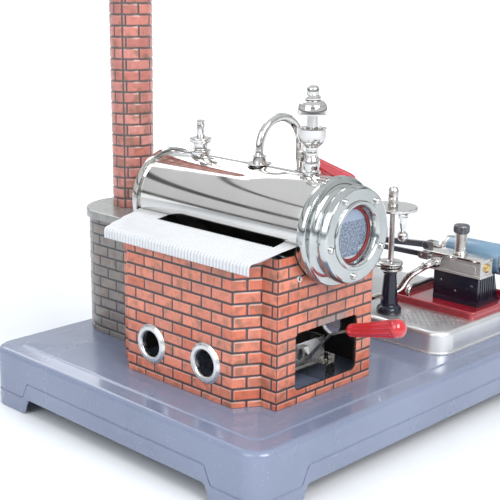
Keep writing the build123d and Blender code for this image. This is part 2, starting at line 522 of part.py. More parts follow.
with BuildPart() as cylinder:
    front, back = CYL_FRONT + FLANGE_T, CYL_BACK - FLANGE_T
    turn([(BORE_R, CYL_FRONT), (FLANGE_R, CYL_FRONT), (FLANGE_R, front), (WAIST_R, front),
          (WAIST_R, back), (FLANGE_R, back), (FLANGE_R, CYL_BACK), (BORE_R, CYL_BACK)],
         (CYL_X, 0, CYL_Z), BACK)
    block(CHEST_X1, *JOINT)
    rod_y(CYL_FRONT - 1, CYL_BACK + 1, CYL_X, CYL_Z, BORE_R, CUT)
with BuildPart() as cylinder_lagging:
    turn([(WAIST_R, front), (LAGGING_R, front), (LAGGING_R, back), (WAIST_R, back)],
         (CYL_X, 0, CYL_Z), BACK)
    block(97.0, *JOINT, CUT)
    block(97.0, CYL_X, CYL_FRONT, CYL_BACK, 64.0, 68.4, CUT)
with BuildPart() as cylinder_covers:
    turn([(0, 0), (FLANGE_R, 0), (FLANGE_R, 1.8), (8.2, 2.5), (4.2, 2.7), (3.6, 3.6),
          (0, 3.9)], (CYL_X, CYL_FRONT, CYL_Z), FORWARD)
    gland_r = ROD_R + CLEARANCE
    turn([(gland_r, 0), (FLANGE_R, 0), (FLANGE_R, 1.8), (8.2, 2.4), (3.4, 2.6), (3.2, 5.4),
          (2.6, 6.0), (gland_r, 6.0)], (CYL_X, CYL_BACK, CYL_Z), BACK)

with BuildPart() as steam_chest:
    floor_z = CHEST_Z0 + 1.4
    block(CHEST_X0, CHEST_X1, CHEST_Y0 - 0.6, CHEST_Y1 + 0.6, CHEST_Z0, floor_z)
    block(CHEST_X0 + 0.9, CHEST_X1, CHEST_Y0, CHEST_Y1, floor_z, CHEST_Z1 - CHEST_LID_T)
    block(CHEST_X0 + 2.4, CHEST_X1 - 1.4, CHEST_Y0 + 2, CHEST_Y1 - 2,
          floor_z, CHEST_Z1 - 1.0, CUT)
    # raised panel on the left face
    block(CHEST_X0 + 0.4, CHEST_X0 + 0.95, CHEST_Y0 + 3.5, CHEST_Y1 - 16.0,
          CHEST_Z0 + 2.4, CHEST_Z1 - 4.0)
    # gland for the valve rod behind, seat for the plug in front
    rod_y(CHEST_Y1, CHEST_Y1 + 2.9, VALVE_X, VALVE_Z, 2.6)
    rod_y(CHEST_Y1 - 3, CHEST_Y1 + 4, VALVE_X, VALVE_Z, VALVE_ROD_R + CLEARANCE, CUT)
    rod_y(CHEST_Y0 - 1, CHEST_Y0 + 3, VALVE_X, VALVE_Z, 1.5, CUT)
with BuildPart() as steam_chest_cover:
    block(CHEST_X0 - 0.3, CHEST_X1 + 0.5, CHEST_Y0 - 0.6, CHEST_Y1 + 0.6,
          CHEST_Z1 - CHEST_LID_T, CHEST_Z1)
    fillet(steam_chest_cover.edges().group_by(Axis.Z)[-1], 0.5)
    rod_z(CHEST_Z1 - 3, CHEST_Z1 + 1, VALVE_X, OILER_Y, 1.6, CUT)
with BuildPart() as chest_plug:
    turn([(0, -1.6), (1.45, -1.6), (1.45, 0), (2.8, 0), (2.8, 0.7), (2.3, 1.0), (2.3, 1.5),
          (1.6, 1.9), (0, 1.9)], (VALVE_X, CHEST_Y0, VALVE_Z), FORWARD)
with BuildPart() as oiler_body:
    turn([(0, -2.4), (1.55, -2.4), (1.55, 0), (4.6, 0), (4.6, 0.8), (3.7, 2.0), (3.6, 2.6),
          (3.6, 13.0), (2.7, 13.0), (2.7, 4.0), (0, 4.0)], (VALVE_X, OILER_Y, CHEST_Z1), UP)
with BuildPart() as oiler_cap:
    turn([(0, 11.0), (2.62, 11.0), (2.62, 13.05), (4.2, 13.05), (4.8, 14.2), (4.9, 17.4),
          (4.5, 18.3), (0, 18.6)], (VALVE_X, OILER_Y, CHEST_Z1), UP)

# ---------------------------------------------------------------- moving engine parts
PISTON_Y = -72.0                 # piston at rest, near its front dead centre
VALVE_PIN_R, CROSSHEAD_PIN_R = 0.9, 1.2
CON_ROD_T, ECC_ROD_T = 3.0, 1.8


def fork(x, pin_y, z, half_width, half_height, cheek, web_front, web_back):
    """Fork open to the back; the web distances are measured forward of the pin."""
    block(x - half_width, x + half_width, pin_y - web_front, pin_y - web_back,
          z - half_height, z + half_height)
    for x0 in (x - half_width, x + half_width - cheek):
        block(x0, x0 + cheek, pin_y - web_back, pin_y, z - half_height, z + half_height)
        rod_x(x0, x0 + cheek, pin_y, z, half_height)


with BuildPart() as valve_and_rod:
    block(CHEST_X0 + 3.4, CHEST_X1 - 1.9, -64.0, -52.0, CHEST_Z0 + 1.9, CHEST_Z0 + 7.8)
    rod_y(-52.0, VALVE_PIN_Y - 3.6, VALVE_X, VALVE_Z, VALVE_ROD_R)
    fork(VALVE_X, VALVE_PIN_Y, VALVE_Z, half_width=2.6, half_height=2.2, cheek=1.3,
         web_front=5.2, web_back=3.2)
    rod_x(VALVE_X - 3.2, VALVE_X + 3.2, VALVE_PIN_Y, VALVE_Z, VALVE_PIN_R)

with BuildPart() as piston_and_rod:
    piston_r, groove_r = BORE_R - CLEARANCE, BORE_R - 0.7
    turn([(0, -3), (piston_r, -3), (piston_r, -0.8), (groove_r, -0.8), (groove_r, 0.8),
          (piston_r, 0.8), (piston_r, 3), (0, 3)], (CYL_X, PISTON_Y, CYL_Z), BACK)
    rod_y(PISTON_Y + 3, CROSSHEAD_Y - 4.6, CYL_X, CYL_Z, ROD_R)
    fork(CYL_X, CROSSHEAD_Y, CYL_Z, half_width=3.2, half_height=2.8, cheek=1.45,
         web_front=6.0, web_back=3.8)
    rod_x(CYL_X - 3.3, CYL_X + 3.3, CROSSHEAD_Y, CYL_Z, CROSSHEAD_PIN_R, CUT)
with BuildPart() as crosshead_pin:
    for x0, x1, radius in ((-3.9, -3.2, 2.0), (-3.2, 3.2, CROSSHEAD_PIN_R), (3.2, 3.9, 2.0)):
        rod_x(CYL_X + x0, CYL_X + x1, CROSSHEAD_Y, CYL_Z, radius)


def flat_rod(x_mid, thick, start, end, half_height, start_r, end_r, hole_r):
    """Flat bar between two (y, z) points, round at both ends, bored at the start."""
    (start_y, start_z), (end_y, end_z) = start, end
    normal = Vector(0, start_z - end_z, end_y - start_y).normalized()
    dy, dz = normal.Y * half_height, normal.Z * half_height
    with BuildSketch(Plane.YZ.offset(x_mid - thick / 2)) as section:
        with BuildLine():
            Polyline((start_y + dy, start_z + dz), (end_y + dy, end_z + dz),
                     (end_y - dy, end_z - dz), (start_y - dy, start_z - dz), close=True)
        make_face()
        with Locations(start):
            Circle(start_r)
        with Locations(end):
            Circle(end_r)
        with Locations(start):
            Circle(hole_r, mode=CUT)
    extrude(section.sketch, amount=thick)


with BuildPart() as connecting_rod:
    flat_rod(CYL_X, CON_ROD_T, (CROSSHEAD_Y, CYL_Z), (PIN_Y, PIN_Z), half_height=1.8,
             start_r=2.7, end_r=3.9, hole_r=CROSSHEAD_PIN_R + CLEARANCE)
    # button head over the crank pin on the outer side
    rod_x(CYL_X + CON_ROD_T / 2, CYL_X + CON_ROD_T / 2 + 1.2, PIN_Y, PIN_Z, 2.4)

with BuildPart() as eccentric_rod:
    flat_rod(VALVE_X, ECC_ROD_T, (VALVE_PIN_Y, VALVE_Z), (ECC_Y - 7.4, ECC_Z),
             half_height=1.5, start_r=2.1, end_r=1.4, hole_r=VALVE_PIN_R + CLEARANCE)
    half_t = ECC_ROD_T / 2
    turn([(6.6, -half_t), (8.4, -half_t), (8.4, half_t), (6.6, half_t)],
         (VALVE_X, ECC_Y, ECC_Z), RIGHT)

# ---------------------------------------------------------------- crankshaft and wheels
FLY_X, FLY_R, FLY_W = 10.3, 36.3, 11.0
SPOKES = 6
SHAFT_END, DISC_END = 104.9, 106.0       # right ends of the shaft and crank disc
BEARING_X, BEARING_W = (35.3, 98.4), 5.0

with BuildPart() as crankshaft:
    rod_x(FLY_X - 8.5, SHAFT_END, CRANK_Y, CRANK_Z, SHAFT_R)
    # disc with the crank pin, pin stops just short of the rod
    turn([(SHAFT_R, 102.4), (4.4, 102.4), (4.4, 103.6), (11.6, 103.6), (11.6, DISC_END),
          (0, DISC_END), (0, SHAFT_END), (SHAFT_R, SHAFT_END)], (0, CRANK_Y, CRANK_Z), RIGHT)
    rod_x(DISC_END, CYL_X - CON_ROD_T / 2 - 0.1, PIN_Y, PIN_Z, 2.2)
with BuildPart() as eccentric_sheave:
    rod_x(VALVE_X - 3.2, VALVE_X - 1.05, ECC_Y, ECC_Z, 7.6)
    rod_x(VALVE_X - 6.4, VALVE_X - 3.2, CRANK_Y, CRANK_Z, 4.0)
    rod_x(VALVE_X - 8, VALVE_X + 2, CRANK_Y, CRANK_Z, SHAFT_R, CUT)
with BuildPart() as drive_pulley:
    groove_r = CRANK_BELT_R - BELT_R - GROOVE_GAP
    turn([(SHAFT_R, -4.0), (4.2, -4.0), (4.2, -2.4), (8.6, -2.4), (8.6, -1.5),
          (groove_r, -0.5), (groove_r, 0.5), (8.6, 1.5), (8.6, 2.4), (SHAFT_R, 2.4)],
         (GOV_X, CRANK_Y, CRANK_Z), RIGHT)
with BuildPart() as flywheel:
    hub = (FLY_X, CRANK_Y, CRANK_Z)
    half_w = FLY_W / 2
    turn([(FLY_R - 5.5, -half_w), (FLY_R - 0.6, -half_w), (FLY_R, -half_w + 0.6),
          (FLY_R, half_w - 0.6), (FLY_R - 0.6, half_w), (FLY_R - 5.5, half_w)], hub, RIGHT)
    turn([(SHAFT_R, -half_w - 1.0), (6.0, -half_w - 1.0), (6.0, half_w + 1.0),
          (SHAFT_R, half_w + 1.0)], hub, RIGHT)
    for i in range(SPOKES):
        angle = radians(360 / SPOKES * i)
        spoke = Plane(origin=hub, x_dir=RIGHT, z_dir=(0, cos(angle), sin(angle)))
        with BuildSketch(spoke.offset(5.0)) as spoke_root:
            SlotOverall(5.0, 3.4)
        with BuildSketch(spoke.offset(FLY_R - 5.0)) as spoke_tip:
            SlotOverall(4.0, 2.8)
        loft([spoke_root.sketch.faces()[0], spoke_tip.sketch.faces()[0]])

# distance from the crankshaft axis along Y, z
BEARING_SIDE = [(10, PLATE_TOP), (10, PLATE_TOP + 3), (6.0, PLATE_TOP + 4), (4.4, CRANK_Z)]
with BuildPart() as shaft_bearings:
    for x in BEARING_X:
        with BuildSketch(Plane.YZ.offset(x - BEARING_W / 2)) as section:
            with BuildLine():
                Polyline((CRANK_Y - 10, PLATE_TOP),
                         *[(CRANK_Y + y, z) for y, z in BEARING_SIDE],
                         *[(CRANK_Y - y, z) for y, z in BEARING_SIDE[:0:-1]], close=True)
            make_face()
            with Locations((CRANK_Y, CRANK_Z)):
                Circle(4.6)
                Circle(SHAFT_R + CLEARANCE, mode=CUT)
        extrude(section.sketch, amount=BEARING_W)

# ---------------------------------------------------------------- governor
GOV_AXIS = Vector(GOV_X, GOV_Y, 0)
GOV_YAW = radians(22.6)          # turn of the ball arms from the Y axis
ARM_DIR = Vector(-sin(GOV_YAW), -cos(GOV_YAW), 0)        # towards the near ball
PIVOT_DIR = Vector(-cos(GOV_YAW), sin(GOV_YAW), 0)       # along the arm pivots
ARM_R = 12.4                     # governor axis to arm pivot
PIVOT_Z, PIVOT_R = 109.1, 0.6
BALL_Z, BALL_R = 97.1, 3.2
SPINDLE_R = 1.65
DISC_Z0, DISC_Z1 = 110.6, 112.6

with BuildPart() as governor_column:
    socket_r = SPINDLE_R + CLEARANCE
    turn([(0, PLATE_TOP), (7.4, PLATE_TOP), (7.4, PLATE_TOP + 2.6), (6.4, PLATE_TOP + 3.9),
          (5.6, PLATE_TOP + 4.4), (5.3, PLATE_TOP + 5.0), (3.7, 71.6), (4.2, 72.2),
          (4.2, 73.6), (socket_r, 73.6), (socket_r, 60.0), (0, 60.0)], GOV_AXIS, UP)
with BuildPart() as governor_spindle:
    groove_r = GOV_BELT_R - BELT_R - GROOVE_GAP
    turn([(0, 60.1), (SPINDLE_R, 60.1), (SPINDLE_R, 73.9), (4.4, 73.9), (6.9, 74.3),
          (7.4, 75.1), (7.4, 75.4), (groove_r, GOV_PULLEY_Z - 0.5),
          (groove_r, GOV_PULLEY_Z + 0.5), (7.4, 78.0), (7.4, 78.6), (6.6, 79.4), (2.4, 79.6),
          (SPINDLE_R, 80.4), (SPINDLE_R, DISC_Z0), (0, DISC_Z0)], GOV_AXIS, UP)
with BuildPart() as governor_disc:
    turn([(0, DISC_Z0), (14.6, DISC_Z0), (14.8, 111.0), (14.8, 112.0), (14.2, DISC_Z1),
          (0, DISC_Z1)], GOV_AXIS, UP)
    # a pair of lugs and a pin for each arm
    for side in (1, -1):
        below = GOV_AXIS + ARM_DIR * (side * ARM_R)
        for end in (-1, 1):
            with BuildSketch(Plane(origin=below + PIVOT_DIR * (end * 2.3), x_dir=ARM_DIR,
                                   z_dir=UP).offset(DISC_Z0 - 3.0)) as lug:
                Rectangle(2.6, 1.0)
            extrude(lug.sketch, amount=3.0)
        pivot = below + Vector(0, 0, PIVOT_Z)
        rod(pivot - PIVOT_DIR * 2.8, pivot + PIVOT_DIR * 2.8, PIVOT_R)
with BuildPart() as governor_cap_nut:
    turn([(0, DISC_Z1), (3.1, DISC_Z1), (3.1, 117.4), (2.8, 117.8), (3.15, 118.2),
          (3.15, 121.8), (2.4, 123.6), (0, 124.2)], GOV_AXIS, UP)


def ball_arm(side):
    """Eye, tapered arm and ball hanging on one side of the governor."""
    below = GOV_AXIS + ARM_DIR * (side * ARM_R)
    pivot = below + Vector(0, 0, PIVOT_Z)
    rod(pivot - PIVOT_DIR * 1.6, pivot + PIVOT_DIR * 1.6, 1.4)
    sections = []
    # z, size along the pivot, size across it
    for z, width, depth in ((PIVOT_Z - 0.6, 3.2, 2.0), (PIVOT_Z - 4.4, 3.6, 2.2),
                            (BALL_Z + 2.4, 1.7, 1.3)):
        with BuildSketch(Plane(origin=below + Vector(0, 0, z), x_dir=PIVOT_DIR,
                               z_dir=(0, 0, -1))) as section:
            Rectangle(width, depth)
        sections.append(section.sketch.faces()[0])
    loft(sections[:2], ruled=True)
    loft(sections[1:], ruled=True)
    with Locations(below + Vector(0, 0, BALL_Z)):
        Sphere(BALL_R)
    rod(pivot - PIVOT_DIR * 2, pivot + PIVOT_DIR * 2, PIVOT_R + CLEARANCE, CUT)


with BuildPart() as governor_arm_near:
    ball_arm(1)
with BuildPart() as governor_arm_far:
    ball_arm(-1)

with BuildPart() as drive_belt:
    # round belt, quarter turned between the crank pulley and the governor pulley
    crank_top = (GOV_X, CRANK_Y, CRANK_Z + CRANK_BELT_R)
    crank_bottom = (GOV_X, CRANK_Y, CRANK_Z - CRANK_BELT_R)
    gov_right = (GOV_X + GOV_BELT_R, GOV_Y, GOV_PULLEY_Z)
    gov_left = (GOV_X - GOV_BELT_R, GOV_Y, GOV_PULLEY_Z)
    with BuildLine() as crank_arc:
        ThreePointArc(crank_bottom, (GOV_X, CRANK_Y + CRANK_BELT_R, CRANK_Z), crank_top)
    with BuildLine() as upper_run:
        Spline(crank_top, gov_right, tangents=(FORWARD, FORWARD))
    with BuildLine() as gov_arc:
        ThreePointArc(gov_right, (GOV_X, GOV_Y - GOV_BELT_R, GOV_PULLEY_Z), gov_left)
    with BuildLine() as lower_run:
        Spline(gov_left, crank_bottom, tangents=(BACK, BACK))
    for run in (crank_arc, upper_run, gov_arc, lower_run):
        sweep_round(run.line, BELT_R)

# ---------------------------------------------------------------- export
NODES = dict(
    base_plate=base_plate, house_front_wall=house_front_wall, house_body=house_body,
    porthole_rings=porthole_rings, wall_eyelets=wall_eyelets, awning_left=awning_left,
    awning_right=awning_right, chimney_base=chimney_base, chimney_cap_slab=chimney_cap_slab,
    chimney_tube=chimney_tube, boiler_barrel=boiler_barrel, boiler_rear_cap=boiler_rear_cap,
    boiler_front_flange=boiler_front_flange, glass_gasket=glass_gasket,
    sight_glass=sight_glass, sight_glass_ring=sight_glass_ring, ring_screws=ring_screws,
    safety_valve_body=safety_valve_body, safety_valve_stem=safety_valve_stem,
    safety_valve_spring=safety_valve_spring, whistle_body=whistle_body,
    whistle_bell=whistle_bell, whistle_lever=whistle_lever, whistle_grip=whistle_grip,
    steam_pipe=steam_pipe, steam_pipe_nuts=steam_pipe_nuts, exhaust_pipe=exhaust_pipe,
    burner_rails=burner_rails, burner_tray=burner_tray, burner_handle=burner_handle,
    burner_grip=burner_grip, engine_plate=engine_plate, drip_tray=drip_tray,
    engine_pedestal=engine_pedestal, pedestal_screws=pedestal_screws, cylinder=cylinder,
    cylinder_lagging=cylinder_lagging, cylinder_covers=cylinder_covers,
    steam_chest=steam_chest, steam_chest_cover=steam_chest_cover, chest_plug=chest_plug,
    oiler_body=oiler_body, oiler_cap=oiler_cap, valve_and_rod=valve_and_rod,
    piston_and_rod=piston_and_rod, crosshead_pin=crosshead_pin,
    connecting_rod=connecting_rod, eccentric_rod=eccentric_rod, crankshaft=crankshaft,
    eccentric_sheave=eccentric_sheave, drive_pulley=drive_pulley, flywheel=flywheel,
    shaft_bearings=shaft_bearings, governor_column=governor_column,
    governor_spindle=governor_spindle, governor_disc=governor_disc,
    governor_cap_nut=governor_cap_nut, governor_arm_near=governor_arm_near,
    governor_arm_far=governor_arm_far, drive_belt=drive_belt)
for label, builder in NODES.items():
    part = builder.part.moved(Location((0, ORIGIN_SHIFT, 0)))
    part.label = label
    export_step(part, "parts/" + label + ".step")
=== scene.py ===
# Toy steam engine: a lithographed brick boiler house with a chimney, and an engine plate,
# on a pressed sheet base.
# The base stands on z = 0. X runs to the right, -Y is the front, Z is up; the house is on the left.
# Modelling code works in millimetres with y = 0 at the middle of the base plate;
# shaders, lights and the camera work in metres.
import bmesh
import bpy
import json
import math
from collections import namedtuple

import numpy as np
from mathutils import Matrix, Vector


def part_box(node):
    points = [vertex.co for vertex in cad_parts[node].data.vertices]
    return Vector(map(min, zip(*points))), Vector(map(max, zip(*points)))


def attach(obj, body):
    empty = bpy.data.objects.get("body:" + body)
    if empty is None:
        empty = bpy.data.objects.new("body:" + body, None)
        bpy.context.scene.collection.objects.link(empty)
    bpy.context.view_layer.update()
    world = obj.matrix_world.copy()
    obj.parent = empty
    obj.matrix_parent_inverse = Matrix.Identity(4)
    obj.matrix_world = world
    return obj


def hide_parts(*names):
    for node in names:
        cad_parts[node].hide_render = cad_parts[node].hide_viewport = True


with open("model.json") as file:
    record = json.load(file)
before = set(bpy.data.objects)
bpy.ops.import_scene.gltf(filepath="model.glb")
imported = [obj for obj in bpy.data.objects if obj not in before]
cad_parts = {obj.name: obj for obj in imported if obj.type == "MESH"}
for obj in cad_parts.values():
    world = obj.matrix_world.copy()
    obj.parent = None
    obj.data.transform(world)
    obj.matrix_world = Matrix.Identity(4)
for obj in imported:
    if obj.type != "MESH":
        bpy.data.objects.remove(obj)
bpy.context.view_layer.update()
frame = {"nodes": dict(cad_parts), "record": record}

MM = 0.001
Box = namedtuple("Box", "x0 y0 z0 x1 y1 z1")

plate_low, plate_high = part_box("base_plate")
BASE_Y = (plate_low.y + plate_high.y) / 2 * 1000.0
BASE_HALF_X = (plate_high.x - plate_low.x) * 500.0
BASE_HALF_Y = (plate_high.y - plate_low.y) * 500.0

MATERIALS = {}


# ---------------------------------------------------------------- mesh helpers
def cad_box(node):
    """Box of a CAD node in modelling millimetres."""
    low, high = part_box(node)
    return Box(low.x * 1000, low.y * 1000 - BASE_Y, low.z * 1000,
               high.x * 1000, high.y * 1000 - BASE_Y, high.z * 1000)


def build(name, verts, faces, slot, material=None, body="frame", replaces=(),
          attributes=None, sharp_angle=35, thickness=0.0):
    """Make a smooth-shaded object; a thickness turns an open sheet into a solid one."""
    verts = np.asarray(verts, float).copy()
    verts[:, 1] += BASE_Y
    mesh = bpy.data.meshes.new(name)
    mesh.from_pydata((verts * MM).tolist(), [], [list(map(int, face)) for face in faces])
    mesh.update()
    for key, values in (attributes or {}).items():
        attribute = mesh.attributes.new(key, "FLOAT", "POINT")
        attribute.data.foreach_set("value", np.asarray(values, np.float32))
    piece = bpy.data.objects.new(name, mesh)
    bpy.context.scene.collection.objects.link(piece)
    mesh.materials.append(material or MATERIALS[slot])

    cleaner = bmesh.new()
    cleaner.from_mesh(mesh)
    bmesh.ops.remove_doubles(cleaner, verts=cleaner.verts, dist=1e-7)
    bmesh.ops.dissolve_degenerate(cleaner, edges=cleaner.edges, dist=1e-8)
    loose = [vert for vert in cleaner.verts if not vert.link_faces]
    bmesh.ops.delete(cleaner, geom=loose, context="VERTS")
    if not thickness:
        bmesh.ops.recalc_face_normals(cleaner, faces=cleaner.faces)
    cleaner.to_mesh(mesh)
    cleaner.free()

    mesh.shade_smooth()
    mesh.set_sharp_from_angle(angle=math.radians(sharp_angle))
    if thickness:
        solid = piece.modifiers.new("solid", "SOLIDIFY")
        solid.thickness = thickness * MM
        solid.offset = -1
        solid.use_even_offset = False
    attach(piece, body)
    if replaces:
        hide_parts(*replaces)
    return piece


def strip_faces(strips, size, closed=False):
    """Quads between neighbouring open strips of points."""
    faces = []
    for i in range(strips if closed else strips - 1):
        a, b = i * size, ((i + 1) % strips) * size
        faces += [(a + j, b + j, b + j + 1, a + j + 1) for j in range(size - 1)]
    return faces


def ring_faces(rings, size, closed=False, first=0):
    """Quads between neighbouring closed rings of points."""
    faces = []
    for i in range(rings if closed else rings - 1):
        a, b = first + i * size, first + ((i + 1) % rings) * size
        for k in range(size):
            after = (k + 1) % size
            faces.append((a + k, a + after, b + after, b + k))
    return faces


def square_to(direction):
    """Unit vector square to a unit direction, upward where that is possible."""
    if abs(direction[2]) < 0.9:
        guide = np.array([0, 0, 1.0])
    else:
        guide = np.array([1.0, 0, 0])
    guide -= direction * guide.dot(direction)
    return guide / np.linalg.norm(guide)


def smoothstep(x, low, high):
    t = np.clip((x - low) / (high - low), 0, 1)
    return t * t * (3 - 2 * t)


def closed_tube(points, radii, segments):
    """Round tube along a closed path; radii is one value or one per point."""
    points = np.asarray(points, float)
    radii = np.broadcast_to(radii, len(points))
    tangents = np.roll(points, -1, 0) - np.roll(points, 1, 0)
    tangents /= np.linalg.norm(tangents, axis=1)[:, None]
    normal = square_to(tangents[0])
    verts = []
    for point, tangent, radius in zip(points, tangents, radii):
        normal = normal - tangent * normal.dot(tangent)
        normal /= np.linalg.norm(normal)
        side = np.cross(tangent, normal)
        for k in range(segments):
            t = 2 * math.pi * k / segments
            verts.append(point + (normal * math.cos(t) + side * math.sin(t)) * radius)
    return np.array(verts), ring_faces(len(points), segments, closed=True)


# ---------------------------------------------------------------- shader helpers
class Shader:
    """A node tree with short calls for the nodes the finishes share."""

    def __init__(self, tree):
        self.nodes, self.links = tree.nodes, tree.links

    def fill(self, node, inputs):
        """Link sockets and set plain values; colours come as RGB."""
        for key, value in inputs.items():
            socket = node.inputs[key]
            if isinstance(value, bpy.types.NodeSocket):
                self.links.new(value, socket)
            elif socket.type == "RGBA":
                socket.default_value = (*value, 1)
            else:
                socket.default_value = value

    def add(self, kind, inputs):
        node = self.nodes.new("ShaderNode" + kind)
        self.fill(node, inputs)
        return node

    def coords(self, output="Object"):
        return self.add("TexCoord", {}).outputs[output]

    def stretched(self, vector, stretch):
        if stretch is None:
            return vector
        return self.add("Mapping", {"Vector": vector, "Scale": stretch}).outputs["Vector"]

    def noise(self, vector, scale, detail):
        inputs = {"Vector": vector, "Scale": scale, "Detail": detail}
        return self.add("TexNoise", inputs).outputs["Fac"]

    def attribute(self, name):
        node = self.add("Attribute", {})
        node.attribute_name = name
        return node.outputs["Fac"]

    def map_range(self, value, from_min=0.0, from_max=1.0, to_min=0.0, to_max=1.0,
                  interpolation="LINEAR"):
        node = self.add("MapRange", {"Value": value, "From Min": from_min, "From Max": from_max,
                                     "To Min": to_min, "To Max": to_max})
        node.interpolation_type = interpolation
        return node.outputs["Result"]

    def math(self, operation, *values):
        node = self.add("Math", dict(enumerate(values)))
        node.operation = operation
        return node.outputs[0]

    def mix(self, factor, first, second):
        """Colour mix; inputs 6 and 7 are the colour sockets of the mix node."""
        node = self.add("Mix", {})
        node.data_type = "RGBA"
        self.fill(node, {0: factor, 6: first, 7: second})
        return node.outputs[2]

    def bump(self, height, strength):
        inputs = {"Height": height, "Strength": strength, "Distance": 0.0002}
        return self.add("Bump", inputs).outputs["Normal"]


def new_material(name):
    material = bpy.data.materials.new(name)
    material.use_nodes = True
    shader = Shader(material.node_tree)
    return material, shader, shader.nodes["Principled BSDF"]


# ---------------------------------------------------------------- plain finishes
def finish(name, base, second, roughness, metallic=0.0, patch_scale=60, bump=0.05,
           bump_scale=1500, coat=0.0, wear=None, wear_amount=0.0, roughness_spread=0.1,
           specular=0.5, stretch=None, dust=0.0, bands=()):
    """Enamel or metal in two patchy colours.

    wear is the colour of worn edges, dust the strength of pale specks, stretch the
    scaling that draws the grain out, and bands are painted stripes of reflection and
    shade, given as (low z, high z, colour) in metres.
    """
    material, shader, principled = new_material(name)
    coords = shader.coords()
    patches = shader.noise(shader.stretched(coords, stretch), scale=patch_scale, detail=6)
    colour = shader.mix(shader.map_range(patches, from_min=0.35, from_max=0.7), base, second)
    if wear:
        pointiness = shader.add("NewGeometry", {}).outputs["Pointiness"]
        exposed = shader.map_range(pointiness, from_min=0.53, from_max=0.62, to_max=wear_amount)
        colour = shader.mix(shader.math("MULTIPLY", exposed, patches), colour, wear)
    if dust:
        specks = shader.noise(coords, scale=900, detail=3)
        speck_mask = shader.map_range(specks, from_min=0.66, from_max=0.74, to_max=dust)
        colour = shader.mix(speck_mask, colour, (0.75, 0.75, 0.73))
    # bands: painted stripes of reflection and shade at set heights
    for low, high, band_colour in bands:
        height = shader.add("SeparateXYZ", {0: coords}).outputs["Z"]
        away = shader.math("ABSOLUTE", shader.math("SUBTRACT", height, (low + high) / 2))
        half = (high - low) / 2
        inside = shader.map_range(away, from_min=half, from_max=half - 0.00025)
        colour = shader.mix(inside, colour, band_colour)
    smudges = shader.noise(coords, scale=patch_scale * 2.3, detail=8)
    grain = shader.noise(shader.stretched(coords, stretch), scale=bump_scale, detail=4)
    shader.fill(principled, {
        "Base Color": colour,
        "Metallic": metallic,
        "Specular IOR Level": specular,
        "Coat Weight": coat,
        "Coat Roughness": 0.06,
        "Roughness": shader.map_range(
            smudges, from_min=0.3, from_max=0.7,
            to_min=max(0.02, roughness - roughness_spread * 0.5),
            to_max=roughness + roughness_spread * 0.5),
        "Normal": shader.bump(grain, strength=bump),
    })
    return material


